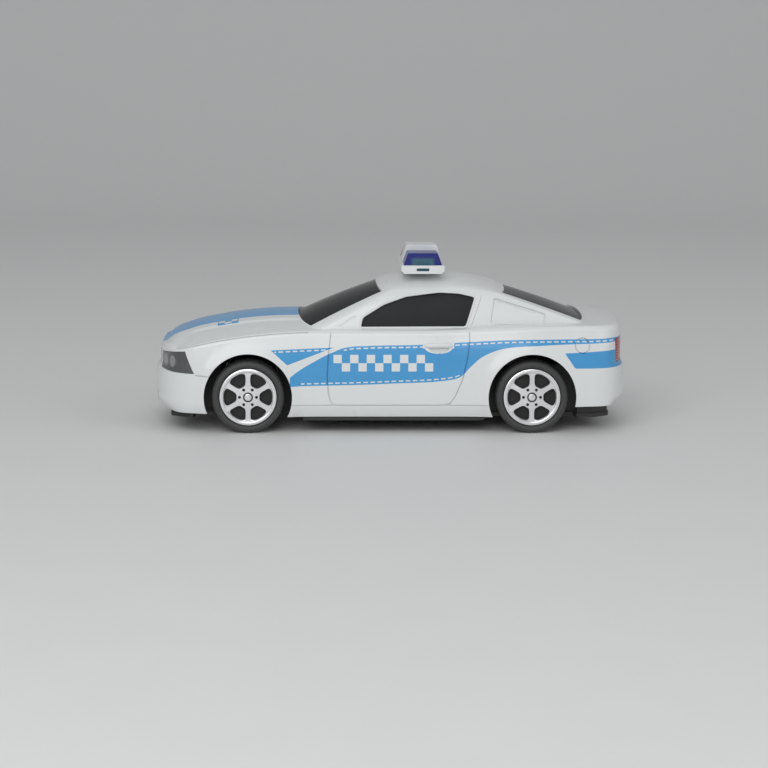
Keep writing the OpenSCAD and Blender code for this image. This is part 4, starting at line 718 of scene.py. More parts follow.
# White field round the door handle: half sizes and drop of its oval, then its bar to both sides, down and up
OVAL_X, OVAL_Z, OVAL_DROP = 5.6, 2.6, 0.6
BAR_X, BAR_DOWN, BAR_UP = 6.2, 1.1, 1.6
# Chequer on the door band: pitch of its squares, its ends, its lower, middle and upper edge
CHEQUER_PITCH, CHEQUER_ENDS = 6.6, (-23.1, 16.5)
CHEQUER_LOW, CHEQUER_ROW, CHEQUER_TOP = 25.0, 28.3, 31.6
# Stripe over the bonnet: half its width, its rear end, and the lowest height that it reaches
STRIPE_HALF, STRIPE_END, STRIPE_LOW = 13.6, -37.0, 33.6
# The shell's inner faces, which have no print, look towards the car's middle by more than this
INSIDE_FACING = -28.0
# Chequered block on the bonnet stripe: its stretch along the car, half its width, its tiles and its border
BLOCK, BLOCK_HALF, BLOCK_TILE, BLOCK_EDGE = (-69.6, -61.2), 19.6, 2.8, 0.5


def door_chequer(tree, x, z):
    """Two rows of squares on the door band, the upper row half a pitch on."""
    rows = calc(tree, "SUBTRACT", repeats(tree, x, CHEQUER_PITCH, 0.5), above(tree, z, CHEQUER_ROW))
    return times(tree, calc(tree, "ABSOLUTE", rows), between(tree, x, *CHEQUER_ENDS),
                 between(tree, z, CHEQUER_LOW, CHEQUER_TOP))


def block_chequer(tree, x, across):
    """Squares at both ends of the bonnet's block, inside its border."""
    tiles = [repeats(tree, place_on, 2 * BLOCK_TILE, 0.5)
             for place_on in (calc(tree, "SUBTRACT", x, BLOCK[0]), across)]
    inside = times(tree, between(tree, x, BLOCK[0] + BLOCK_EDGE, BLOCK[1] - BLOCK_EDGE),
                   between(tree, across, BLOCK_HALF - 2 * BLOCK_TILE, BLOCK_HALF - BLOCK_EDGE))
    return times(tree, inside, calc(tree, "ABSOLUTE", calc(tree, "SUBTRACT", *tiles)))


def handle_field(tree, x, z):
    """The white field round the door handle: an oval, where the squares of both shares add up to less
    than 1, and a bar."""
    share_x = calc(tree, "DIVIDE", calc(tree, "SUBTRACT", x, HANDLE_X), OVAL_X)
    share_z = calc(tree, "DIVIDE", calc(tree, "SUBTRACT", z, HANDLE_Z - OVAL_DROP), OVAL_Z)
    squares = calc(tree, "ADD", times(tree, share_x, share_x), times(tree, share_z, share_z))
    bar = times(tree, between(tree, x, HANDLE_X - BAR_X, HANDLE_X + BAR_X),
                between(tree, z, HANDLE_Z - BAR_DOWN, HANDLE_Z + BAR_UP))
    return most(tree, below(tree, squares, 1.0), bar)


def edge_dashes(tree, x, z, edge, inwards):
    """Dashes that follow an edge of a band, a little inside it."""
    values = {"Along": x, "Across": z, "Middle": calc(tree, "ADD", edge, inwards)}
    return add(tree, "ShaderNodeGroup", values, node_tree=dash_group()).outputs[0]


def printed_shell(colours):
    """White moulded shell with blue printed bands, dashed edges and plain chequers on doors and bonnet."""
    material, tree, shader = new_material("printed_shell")
    x, y, z = places(tree)
    across = calc(tree, "ABSOLUTE", y)
    normal = add(tree, "ShaderNodeTexCoord").outputs["Normal"]
    facing = add(tree, "ShaderNodeSeparateXYZ", {0: normal}).outputs
    outwards = calc(tree, "ADD", times(tree, x, facing[0]), times(tree, y, facing[1]))
    tail = times(tree, above(tree, x, TAIL_FROM), above(tree, across, TAIL_HALF))
    flank = most(tree, above(tree, across, FLANK_HALF), tail)

    top, low = (curve_of(tree, x, points, "AUTO_CLAMPED") for points in (BAND_TOP, BAND_LOW))
    flash_low, flash_top, patch_low, patch_top = (
        curve_of(tree, x, points) for points in (FLASH_LOW, FLASH_TOP, PATCH_LOW, PATCH_TOP))
    band = times(tree, between(tree, z, low, top), between(tree, x, *BAND_ENDS))
    flash = times(tree, between(tree, z, flash_low, flash_top), between(tree, x, *FLASH_ENDS))
    patch = times(tree, between(tree, z, patch_low, patch_top), between(tree, x, *PATCH_ENDS))
    side = times(tree, flank, most(tree, band, flash, patch), above(tree, outwards, INSIDE_FACING))

    stripe = times(tree, below(tree, across, STRIPE_HALF), below(tree, x, STRIPE_END),
                   above(tree, z, STRIPE_LOW))
    block = times(tree, between(tree, x, *BLOCK), below(tree, across, BLOCK_HALF))
    bonnet = times(tree, most(tree, stripe, block), above(tree, facing[2], 0.0))

    upper = times(tree, edge_dashes(tree, x, z, top, -DASH_IN), above(tree, x, UPPER_FROM))
    lower = times(tree, edge_dashes(tree, x, z, low, DASH_IN), between(tree, x, *LOWER_ENDS))
    flash_edge = times(tree, edge_dashes(tree, x, z, flash_top, -FLASH_DASH_IN),
                       between(tree, x, *FLASH_DASH_ENDS))
    white = most(tree, door_chequer(tree, x, z), handle_field(tree, x, z), flash_edge, upper, lower)
    white = most(tree, times(tree, flank, white), block_chequer(tree, x, across))
    ink = times(tree, most(tree, side, bonnet), calc(tree, "SUBTRACT", 1.0, white))
    colour = blend(tree, ink, (*colours.shell, 1), (*colours.print_blue, 1))
    shader.inputs["Coat Weight"].default_value = 0.35
    shader.inputs["Coat Roughness"].default_value = 0.05
    finish(tree, shader, colour, 0.3, 260.0, 0.01, 0.03)
    return material


def tinted_lens(name, colour, glow):
    """Tinted clear plastic of the light bar, with the paler reflector seen through its middle."""
    material, tree, shader = new_material(name + "_finish")
    x, _, z = places(tree)
    off = calc(tree, "ABSOLUTE", calc(tree, "SUBTRACT", x, PEG_X))
    middle = add(tree, "ShaderNodeMapRange", {0: off, 1: GLOW_HALF, 2: GLOW_HALF - GLOW_FADE_X}).outputs[0]
    low = add(tree, "ShaderNodeMapRange", {0: z, 1: GLOW_TOP, 2: GLOW_TOP - GLOW_FADE_Z}).outputs[0]
    colour = blend(tree, times(tree, middle, low), (*colour, 1), (*glow, 1))
    shader.inputs["Transmission Weight"].default_value = 0.45
    shader.inputs["IOR"].default_value = 1.25
    finish(tree, shader, colour, 0.22, 300.0, 0.01)
    return material


def lamp_lens(name, colour, rough, transmission, bars=None, flute=None, bulbs=()):
    """Lens of a head or tail lamp: dark bars at a pitch across the car, level flutes from a sine of the
    height, and paler bulbs seen through it."""
    material, tree, shader = new_material(name + "_finish")
    x, y, z = places(tree)
    across = calc(tree, "ABSOLUTE", y)
    tone = (*colour, 1)
    if bars:
        pitch, share = bars
        tone = blend(tree, repeats(tree, across, pitch, share), tone, (*(0.35 * c for c in colour), 1))
    spot = add(tree, "ShaderNodeCombineXYZ", {0: x, 1: across, 2: z}).outputs[0]
    for centre, r in bulbs:
        ends = {0: spot, 1: tuple(map(float, centre))}
        off = add(tree, "ShaderNodeVectorMath", ends, operation="DISTANCE").outputs["Value"]
        near = add(tree, "ShaderNodeMapRange", {0: off, 1: r, 2: 0.75 * r}).outputs[0]
        tone = blend(tree, near, tone, BULB_TONE)
    shader.inputs["Transmission Weight"].default_value = transmission
    shader.inputs["Coat Weight"].default_value = 0.2
    shader.inputs["Coat Roughness"].default_value = 0.06
    finish(tree, shader, tone, rough, 300.0, 0.006)
    if flute:
        wave = calc(tree, "SINE", calc(tree, "MULTIPLY", z, 2 * np.pi / flute))
        grain = shader.inputs["Normal"].links[0].from_socket
        values = {"Strength": 0.5, "Distance": 0.12 * MM, "Height": wave, "Normal": grain}
        ridge = add(tree, "ShaderNodeBump", values)
        tree.links.new(ridge.outputs["Normal"], shader.inputs["Normal"])
    return material


# Sizes and colours on the panel

def length(name, text, mm):
    """A length property whose default is given in millimetres."""
    return bpy.props.FloatProperty(name=name, description=text, default=mm * MM, min=0.0, precision=5,
                                   subtype="DISTANCE", unit="LENGTH")


def tint(name, text, colour):
    """A colour property."""
    return bpy.props.FloatVectorProperty(name=name, description=text, default=colour, size=3,
                                         min=0.0, max=1.0, subtype="COLOR")


class ToyCarSizes(bpy.types.PropertyGroup):
    """Sizes of the shell and the wheels."""

    body_len: length("Length", "Overall length of the shell", 190)
    door_w: length("Door width", "Width across the doors", 75.6)
    front_swell: length("Front swell", "Swell of the front fenders past the doors", 0.9)
    rear_swell: length("Rear swell", "Swell of the rear haunches past the doors", 1.6)
    swell_reach: length("Swell reach", "Length of each swell to either side of its axle", 32)
    shell_wall: length("Shell wall", "Wall of the shell below the windows", 1.4)
    cabin_wall: length("Cabin wall", "Wall of the shell round the windows", 1.0)
    sill_h: length("Sill height", "Height of the sill's lower edge", 6.6)
    front_lip_h: length("Front lip", "Height of the front bumper's lower edge", 8)
    rear_lip_h: length("Rear lip", "Height of the rear bumper's lower edge", 11)
    belt_h: length("Belt height", "Height of the shoulder at the doors", 41)
    belt_rise: length("Belt rise", "Rise of the shoulder towards the tail", 2)
    nose_h: length("Nose height", "Height of the bonnet's front edge", 34)
    fender_nose_h: length("Fender nose", "Height of the shoulder at the nose", 31.4)
    cowl_h: length("Cowl height", "Height of the bonnet's rear edge", 44.6)
    deck_h: length("Deck height", "Height of the boot lid", 44.2)
    shoulder_r: length("Shoulder rounding", "Rounding between side and top", 2.4)
    nose_corner: length("Nose corner", "Length of the rounded front corner", 27)
    tail_corner: length("Tail corner", "Length of the rounded rear corner", 24)
    plateau_h: length("Bonnet rise", "Rise of the raised middle of the bonnet", 0.6)
    arch_r: length("Arch radius", "Radius of the wheel arches", 17.5)
    arch_flare: length("Arch flare", "Outward lip round the wheel arches", 0.8)
    roof_h: length("Roof height", "Height of the roof's crown", 61.3)
    screen_foot: length("Windscreen place", "Distance from the nose to the windscreen's foot", 57)
    screen_run: length("Windscreen run", "Run of the windscreen in side view", 33.5)
    roof_len: length("Roof length", "Length of the roof", 49.9)
    back_run: length("Rear window run", "Run of the rear window in side view", 34)
    cabin_half: length("Cabin half width", "Half the width of the cabin at the window line", 33.2)
    roof_half: length("Roof half width", "Half the width of the roof at its edge", 25.6)
    wheelbase: length("Wheelbase", "Distance between the axles", 113)
    front_overhang: length("Front overhang", "Distance from the nose to the front axle", 38)
    tyre_d: length("Tyre diameter", "Outer diameter of the tyres", 29)
    tyre_w: length("Tyre width", "Width of the tyres", 10.6)
    wheel_mid: length("Wheel place", "Distance of a wheel's middle from the middle of the car", 32.3)
    rim_d: length("Rim diameter", "Diameter of the silver rims", 22.8)


class ToyCarColours(bpy.types.PropertyGroup):
    """Colours of the finishes."""

    shell: tint("Shell", "White of the shell", (0.76, 0.78, 0.78))
    print_blue: tint("Print", "Blue of the printed bands", (0.06, 0.33, 0.66))
    window: tint("Windows", "Smoke of the windows", (0.034, 0.035, 0.036))
    tyre: tint("Tyres", "Rubber of the tyres", (0.05, 0.051, 0.05))
    rim: tint("Rims", "Silver of the rims", (0.84, 0.85, 0.86))
    lens_blue: tint("Blue lens", "Blue lens of the light bar", (0.02, 0.03, 0.3))
    lens_red: tint("Red lens", "Red lens of the light bar", (0.5, 0.015, 0.015))
    floor: tint("Floor", "Pale floor", (0.78, 0.78, 0.77))


# Side window: its place, length and height in millimetres, and the outlines beside it in shares of those
WINDOW_X, WINDOW_Z, WINDOW_LEN, WINDOW_H = -12.7, 41.7, 46.6, 13.8
WINDOW = [(0, 0), (0.02, 0.3), (0.206, 0.67), (0.4, 0.89), (0.685, 1), (0.86, 0.97), (1, 0.86),
          (0.915, 0)]
WINDOW_R, CORNER_STEPS = 1.3, 7
SAIL = [(1.152, 0.84), (1.607, 0.38), (1.59, 0.1), (1.116, 0.1)]
SAIL_SLOT = [(1.189, 0.739), (1.517, 0.39), (1.45, 0.27), (1.172, 0.478)]
FRAME_LINE = [(0.955, 0.02), (1.045, 0.84), (1.035, 0.9)]
QUARTER = [(-0.19, 0.03), (-0.035, 0.36), (-0.03, 0.03)]
# Sunk panels beside the side window, with depth and rounding, and raised frames, with radius
PANELS = ((SAIL, 0.4, 1.2), (SAIL_SLOT, 0.58, 0.9), (QUARTER, 0.35, 0.8))
FRAMES, FRAME_SUNK = ((WINDOW, 0.5), (SAIL, 0.32)), 0.1
# Windscreen and rear window: stations, then shares of the glass's height
WINDSCREEN, REAR_WINDOW = ((0.0, 0.7), (0.02, 0.965)), ((3.0, 2.3), (0.035, 0.965))
# The insert stands this far into the shell's wall, and is this thick
GLASS_PROUD, GLASS_THICK = 0.34, 1.1
# Door: its place, length and edges, and its shut line in shares of those
DOOR_X, DOOR_LEN, DOOR_LOW, DOOR_HIGH = -25.6, 56.6, 11.4, 40.6
DOOR = [(0.03, 1.04), (0.01, 0.7), (0, 0.42), (0.01, 0.15), (0.03, 0.03), (0.06, 0), (0.4, 0), (0.8, 0),
        (0.86, 0.02), (0.9, 0.12), (0.95, 0.35), (0.985, 0.65), (1, 0.86), (0.995, 1.04)]
# Lamps and front openings: end stations, then heights of lower and upper edge at both ends
HEADLAMP_RAKE = 0.1
HEADLAMP = (0.26, 0.85, (24.6, 24.0), (31.0, 32.6))
TAIL_LAMP = (2.48, 2.86, (28.0, 28.4), (37.4, 37.6))
GRILLE = (0.0, 0.204, (25.0, 25.0), (31.2, 31.0))
INTAKE = (0.0, 0.274, (11.0, 11.0), (15.0, 15.0))
# Door handle, the bowl behind it (shift, half length, drop, depth, reach outside) and the light bar's pegs
HANDLE_X, HANDLE_Z, HANDLE_LEN, HANDLE_R, HANDLE_TIP = 18.6, 35.2, 11.4, 0.95, 0.02
BOWL_SHIFT_X, BOWL_SHIFT_Z, BOWL_X, BOWL_Z, BOWL_DEEP, BOWL_OUT = 0.3, -0.2, 4.2, 3.0, 0.9, 2.0
PEG_X, PEG_Y, PEG_R = 12.9, 4.6, 1.4
# Cutters reach this far past the wall, leave this play round a lamp, and span these heights
PAST, PLAY, SCREEN_SPAN, PEG_SPAN = 1.0, 0.1, (40.0, 70.0), (50.0, 64.0)
# Lamps: stations and heights of the bulbs, their radius and tone, and the bars and flutes of the tail lamps
BULBS, BULB_R, BULB_TONE = ((0.385, 28.0), (0.56, 28.2)), 2.7, (0.36, 0.37, 0.39, 1)
TAIL_BARS, TAIL_FLUTE = (5.2, 0.08), 1.1
# Glow of the reflectors through the light bar's lenses: half its length, its top, and how far they fade
GLOW_HALF, GLOW_TOP, GLOW_FADE_X, GLOW_FADE_Z = 5.2, 68.7, 1.6, 0.9
# Shut lines: half width and, as a multiple of it, depth
GROOVE_R, GROOVE_DEEP, FINE_R, FINE_DEEP = 0.26, 2.6, 0.2, 2.0
# Round line of the filler flap
FILLER_X, FILLER_Z, FILLER_R = 76.0, 35.4, 3.0
# Line of the front bumper: stations and heights
BUMPER_LINE = ((0.86, 1.02), (23.4, 22.6))
# Lines on the tail, from a corner to the middle of the car: stations, heights and whether they close
LID_LINE = ((2.9, 2.9, 2.91, 3.0), (40.6, 28.0, 26.8, 26.6), False)
PLATE_LINE = ((3.0, 2.935, 2.935, 3.0), (22.8, 22.8, 16.6, 16.6), True)
# Line of the bonnet: depths of its two cuts, angle on the shoulder's rounding, first station and rear end
BONNET_SUNK, BONNET_TURN, BONNET_FROM, BONNET_END = (0.0, 0.38), 46.0, 0.62, -33.0
# Columns and rows of the surfaces: stations on nose, side and tail, then rows upwards and inwards
BODY_GRID, BODY_INSIDE_GRID = ((56, 150, 44), 52, 9, 56), ((28, 70, 20), 24, 4, 10)
CABIN_GRID, CABIN_INSIDE_GRID = ((56, 60, 44), 22, 9, 18), ((40, 30, 30), 14, 7, 10)
PANEL_GRID, GLASS_GRID = ((40, 40, 30), 22, 9, 12), ((60, 60, 48), 24, 9, 18)


def in_side_view(shares):
    """An outline given in shares of the side window's length and height."""
    return np.array([(WINDOW_X + u * WINDOW_LEN, WINDOW_Z + v * WINDOW_H) for u, v in shares])


def side_cutter(name, outline, inner, outer):
    """A prism across the car over an outline in side view, from one place across to another."""
    ends = (lambda p, y=y: grid(p[:, 0], y, p[:, 1]) for y in (inner, outer))
    return prism(name, outline, *ends)


def upright(name, outline, span):
    """A prism upwards over an outline in plan, from one height to another."""
    ends = (lambda p, z=z: grid(p[:, 0], p[:, 1], z) for z in span)
    return prism(name, outline, *ends)


def circle(r, count):
    """Points evenly round a circle."""
    a = np.linspace(0, 2 * np.pi, count, endpoint=False)
    return np.stack([r * np.cos(a), r * np.sin(a)], axis=-1)


def wall_cutter(shell, name, spec, d0, d1, grow, side, rake=0.0):
    """A slice of the wall between two insets, over a stretch of outline and height, with a raked end."""
    s0, s1, low, high = spec
    k, v = np.linspace(0, 1, 40)[:, None], np.linspace(0, 1, 14)[None]
    s = mix(s0, s1 - rake * v, k)
    z = mix(mix(low[0], low[1], k) - grow, mix(high[0], high[1], k) + grow, v)
    flip = np.array([1, side, 1])
    return slab(name, shell.wall(s, z, d0) * flip, shell.wall(s, z, d1) * flip)


def middle_cutter(shell, name, spec, d0, d1, grow):
    """A slice of the nose's wall on both sides of the middle."""
    _, s1, low, high = spec
    k = np.linspace(-1, 1, 61)[:, None]
    z = mix(low[0] - grow, high[0] + grow, np.linspace(0, 1, 12)[None])

    def skin(d):
        p = shell.wall(np.abs(k) * s1, z + 0 * k, d)
        return p * grid(np.ones_like(p[..., 0]), np.sign(k) + 0 * p[..., 0], np.ones_like(p[..., 0]))

    return slab(name, skin(d0), skin(d1))


def screen_cutter(shell, name, shares, heights):
    """A prism upwards over the plan of a windscreen that follows the glass."""
    s = mix(shares[0], shares[1], (np.arange(24) + 0.5) / 24)
    low, high = shell.glass(s, heights[0], 0.0)[:, :2], shell.glass(s, heights[1], 0.0)[:, :2]
    flip = np.array([1, -1])
    outline = np.concatenate([low[::-1] * flip, low, high[::-1], high * flip])
    return upright(name, outline, SCREEN_SPAN)


def peg_hole(side):
    """A round hole down through the roof for a peg of the light bar."""
    return upright("peg_hole", circle(PEG_R, 24) + [PEG_X, side * PEG_Y], PEG_SPAN)


def groove(body, name, path, r=GROOVE_R, squash=GROOVE_DEEP, sides=6, closed=False):
    """Cuts a fine tube along a path on the surface."""
    cut(body, tube(name, path, r, sides, closed, squash))


def bonnet_line(shell, sunk):
    """Shut line between bonnet and fender: it runs on the shoulder's rounding, sunk below the surface."""
    end = shell.side_station(BONNET_END)
    s = np.concatenate([np.linspace(BONNET_FROM, 1.0, 40)[:-1], np.linspace(1.0, end, 40)])
    top = shell.edge_z(s) - shell.shoulder_r
    a, r = np.radians(BONNET_TURN), shell.shoulder_r - sunk
    x, y = shell.plan(s, shell.wall_inset(s, top) + shell.shoulder_r - r * np.cos(a))
    return grid(x, y, top + r * np.sin(a))


class TOYCAR_OT_shell(bpy.types.Operator):
    """Builds the moulded shell with its openings, shut lines and printed bands"""

    bl_idname = "toycar.shell"
    bl_label = "Moulded shell"

    def execute(self, context):
        sizes, colours = context.scene.toy_car_sizes, context.scene.toy_car_colours
        shell = Shell(sizes)
        body = from_halves("shell", shell.body(0.0, 0.0, *BODY_GRID))
        combine(body, from_halves("cabin", shell.cabin(0.0, *CABIN_GRID)), "UNION")
        cut(body, from_halves("inside", shell.body(shell.shell_wall, shell.sill_h, *BODY_INSIDE_GRID)))
        cut(body, from_halves("cabin_inside", shell.cabin(shell.cabin_wall, *CABIN_INSIDE_GRID)))
        self.openings(shell, body)
        self.shut_lines(shell, body)
        place(body, "car", printed_shell(colours), 32.0, ("body_shell",))
        return {"FINISHED"}

    def openings(self, shell, body):
        """Cuts the wheel arches, windows, lamp and grille openings, sunk panels and handle bowls."""
        reach, r = shell.door_w, shell.arch_r
        for x in (shell.front_x, shell.rear_x):
            bar = [(0, -reach), (r, -reach), (r, reach), (0, reach)]
            cut(body, revolve("arch", bar, (x, 0, shell.axle_z), 128, closed=False))
        window = rounded(in_side_view(WINDOW), WINDOW_R, CORNER_STEPS)
        cut(body, side_cutter("window", window, -reach, reach))
        for shares, depth, r in PANELS:
            outline = rounded(in_side_view(shares), r, CORNER_STEPS)
            panel = side_cutter("panel", outline, -reach, reach)
            cut(panel, from_halves("panel_floor", shell.cabin(depth, *PANEL_GRID)))
            cut(body, panel)
        cut(body, screen_cutter(shell, "windscreen", *WINDSCREEN))
        cut(body, screen_cutter(shell, "rear_window", *REAR_WINDOW))
        wall = (-PAST, shell.shell_wall + PAST, PLAY)
        for side in (-1, 1):
            cut(body, wall_cutter(shell, "headlamp", HEADLAMP, *wall, side, HEADLAMP_RAKE))
            cut(body, wall_cutter(shell, "tail_lamp", TAIL_LAMP, *wall, side))
            x, y, z = shell.side(HANDLE_X + BOWL_SHIFT_X, HANDLE_Z + BOWL_SHIFT_Z) * [1, side, 1]
            a = np.linspace(-np.pi, 0, 25)
            bowl = np.stack([x + BOWL_X * np.cos(a), z + BOWL_Z * np.sin(a)], axis=-1)
            cut(body, side_cutter("bowl", bowl, y - side * BOWL_DEEP, y + side * BOWL_OUT))
            cut(body, peg_hole(side))
        cut(body, middle_cutter(shell, "grille", GRILLE, *wall))
        cut(body, middle_cutter(shell, "intake", INTAKE, *wall))

    def shut_lines(self, shell, body):
        """Cuts the grooves of doors, bonnet, bumpers and filler flap as fine tubes along the surface."""
        corners = [(DOOR_X + u * DOOR_LEN, mix(DOOR_LOW, DOOR_HIGH, v)) for u, v in DOOR]
        door = shell.side(*along(corners, 150).T)
        pillar = shell.cabin_side(*along(in_side_view(FRAME_LINE), 30).T)
        round_x, round_z = circle(FILLER_R, 48).T
        filler = shell.wall(shell.tail_station(FILLER_X + round_x), FILLER_Z + round_z, 0.0)
        sill_x = np.linspace(shell.front_x + shell.arch_r, shell.rear_x - shell.arch_r, 80)
        sill = shell.side(sill_x, DOOR_LOW)
        bumper = shell.wall(*(np.linspace(*ends, 30) for ends in BUMPER_LINE), 0.0)
        for side in (-1, 1):
            flip = np.array([1, side, 1])
            groove(body, "frame_line", pillar * flip, FINE_R, FINE_DEEP)
            groove(body, "door_line", door * flip)
            if side < 0:
                groove(body, "filler_line", filler * flip, closed=True)
            groove(body, "sill_line", sill * flip, FINE_R)
            for sunk in BONNET_SUNK:
                groove(body, "bonnet_line", bonnet_line(shell, sunk) * flip, squash=1.0, sides=8)
            groove(body, "bumper_line", bumper * flip)
        for stations, heights, closed in (LID_LINE, PLATE_LINE):
            path = along(np.column_stack([stations, heights]), 120)
            half = shell.wall(path[:, 0], path[:, 1], 0.0)
            loop = np.concatenate([half, half[-2 if closed else -1::-1] * [1, -1, 1]])
            groove(body, "rear_line", loop[:-1] if closed else loop, squash=1.0, closed=closed)


class TOYCAR_OT_glazing(bpy.types.Operator):
    """Builds the smoked window insert and the raised frames round the side windows"""

    bl_idname = "toycar.glazing"
    bl_label = "Glazing"

    def execute(self, context):
        sizes, colours = context.scene.toy_car_sizes, context.scene.toy_car_colours
        shell = Shell(sizes)
        gap = shell.cabin_wall - GLASS_PROUD
        glass = from_halves("glazing", shell.cabin(gap, *GLASS_GRID))
        cut(glass, from_halves("glass_inside", shell.cabin(gap + GLASS_THICK, *CABIN_INSIDE_GRID)))
        cut(glass, peg_hole(-1))
        cut(glass, peg_hole(1))
        place(glass, "car", window_smoke(colours), 40.0, ("window_insert",))
        frames = []
        for shares, r in FRAMES:
            ring = along(rounded(in_side_view(shares), WINDOW_R, CORNER_STEPS), 220, closed=True)
            path = shell.cabin_side(ring[:, 0], ring[:, 1], FRAME_SUNK)
            for side in (-1, 1):
                frames.append(tube("frame", path * [1, side, 1], r, 8, closed=True))
        place(join("window_frames", frames), "car", shell_white(colours), 60.0)
        return {"FINISHED"}


class TOYCAR_OT_fittings(bpy.types.Operator):
    """Builds the door handles"""

    bl_idname = "toycar.fittings"
    bl_label = "Door handles"

    def execute(self, context):
        sizes, colours = context.scene.toy_car_sizes, context.scene.toy_car_colours
        shell = Shell(sizes)
        t = np.linspace(-1, 1, 24)
        path = shell.side(HANDLE_X + t * HANDLE_LEN / 2, HANDLE_Z + 0 * t, 0.0)
        r = HANDLE_R * power(1 - t ** 6, 0.4) + HANDLE_TIP
        bars = [tube("bar", path * [1, side, 1], r, 12, squash=0.75) for side in (-1, 1)]
        place(join("door_handles", bars), "car", shell_white(colours), 60.0)
        return {"FINISHED"}


# Wheels: name, body, side and whether it is a rear one
WHEELS = (("front_left", "front_left_wheel", -1, 0), ("front_right", "front_right_wheel", 1, 0),
          ("rear_left", "rear_wheelset", -1, 1), ("rear_right", "rear_wheelset", 1, 1))


class TOYCAR_OT_wheels(bpy.types.Operator):
    """Builds the four tyres with their tread and the four six-spoked rims"""

    bl_idname = "toycar.wheels"
    bl_label = "Wheels"

    def execute(self, context):
        sizes, colours = context.scene.toy_car_sizes, context.scene.toy_car_colours
        shell = Shell(sizes)
        rubber, silver = tyre_black(colours), rim_metal(colours)
        # Dark finish of the ring in each rim's cap groove: painted shade in the groove
        dark = moulded("rim_groove_shade", (0.03, 0.03, 0.03), 0.6, 900.0, 0.02)
        for name, body, side, rear in WHEELS:
            x = shell.rear_x if rear else shell.front_x
            centre = np.array([x, side * shell.wheel_mid, shell.axle_z])
            tread = tyre(shell, name + "_tyre_form", centre, side)
            place(tread, body, rubber, 30.0, (name + "_tyre",))
            spokes = rim(shell, name + "_rim_form", centre, side)
            place(spokes, body, silver, 28.0, (name + "_rim",))
            ring = groove_shade_ring(shell, name + "_cap_groove_shade", centre, side)
            place(ring, body, dark, 40.0)
        return {"FINISHED"}


# Tyre: its bead as (out from the rim, in from its side) pairs, its shoulder's depth and breadth, the edge of
# its tread, and the tread's groove as (depth, place across) pairs
TYRE_BEAD = [(0.05, 1.4), (0.35, 0.55), (0.8, 0.2), (1.2, 0.05)]
SHOULDER_DEEP, SHOULDER_WIDE, TREAD_EDGE = 1.8, 1.6, 2.2
TREAD = [(0.0, 1.95), (0.5, 1.75), (0.5, 1.25), (0.0, 1.05), (0.0, 0.0)]
# Notches in the shoulders: number round the tyre, shift from side to side, threshold, reach, fade, depth
NOTCHES, NOTCH_SHIFT, NOTCH_OVER, NOTCH_REACH, NOTCH_FADE, NOTCH_DEEP = 36, 0.9, 0.55, 1.1, 0.5, 0.12
NOTCH_FROM, TYRE_TURNS = 2.0, 216
# Rim: its face lies this far inside the tyre's side, and its barrel ends this far before the other side
RIM_IN, RIM_SHORT = 0.3, 0.7
# Rim's lip as (in from its edge, up from its face), its face as (radius, up), its back as (in, up)
RIM_LIP = [(0.02, -0.5), (0.12, -0.15), (0.4, 0), (1.1, 0.02), (1.45, -0.15), (1.7, -0.5), (2.2, -0.62)]
RIM_FACE = [(6.0, -0.3), (4.2, -0.12), (3.0, -0.1), (2.0, -0.05), (1.94, -0.4), (1.42, -0.4), (1.36, -0.02),
            (1.1, 0.06), (0, 0.08), (0, -1.4)]
RIM_BACK = [(1.9, -1.6), (1.0, -2.0)]
# Windows between the spokes: inner radius, distance from the edge, half a spoke's width; then the lug holes
SPOKES, SPOKE_FROM, SPOKE_EDGE, SPOKE_HALF, LUG_AT, LUG_R = 6, 4.7, 1.9, 1.1, 3.4, 0.55
# The cutters of both go this deep, stand this far out, and widen outwards by this share
SPOKE_DEEP, SPOKE_OUT, SPOKE_WIDEN = 3.0, 0.4, 0.1
# Dark ring laid in the groove round the cap, painted shade where the groove falls dark, as (radius, up from
# the rim's face) pairs
CAP_GROOVE_SHADE = [(1.44, -0.38), (1.92, -0.38), (1.92, -0.24), (1.44, -0.24)]


def tyre(shell, name, centre, side):
    """Tyre: a closed profile of beads, round shoulders and flat tread; notches stand where a sine of the
    angle passes a threshold."""
    h, r, bead = shell.tyre_w / 2, shell.tyre_d / 2, shell.rim_d / 2
    a = np.linspace(0, np.pi / 2, 9)
    shoulder = [(r - SHOULDER_DEEP * (1 - np.sin(t)), h - SHOULDER_WIDE * (1 - np.cos(t))) for t in a]
    half = np.array([(bead + out, h - inwards) for out, inwards in TYRE_BEAD] + shoulder
                    + [(r, h - TREAD_EDGE)] + [(r - deep, y) for deep, y in TREAD])
    profile = np.concatenate([half, half[-2::-1] * [1, -1]])
    t = np.arange(TYRE_TURNS)[:, None] * 2 * np.pi / TYRE_TURNS
    radius, across = profile[None, :, 0], profile[None, :, 1]
    notch = np.sin(NOTCHES * t + NOTCH_SHIFT * np.sign(across)) > NOTCH_OVER
    notch = notch * smooth((radius - r + NOTCH_REACH) / NOTCH_FADE) * (np.abs(across) > NOTCH_FROM)
    radius = radius - NOTCH_DEEP * notch
    ring = grid(centre[0] + radius * np.cos(t), centre[1] + side * across + 0 * t,
                centre[2] + radius * np.sin(t))
    return new_object(name, ring, quads(TYRE_TURNS, len(profile), wrap_u=True, wrap_v=True))


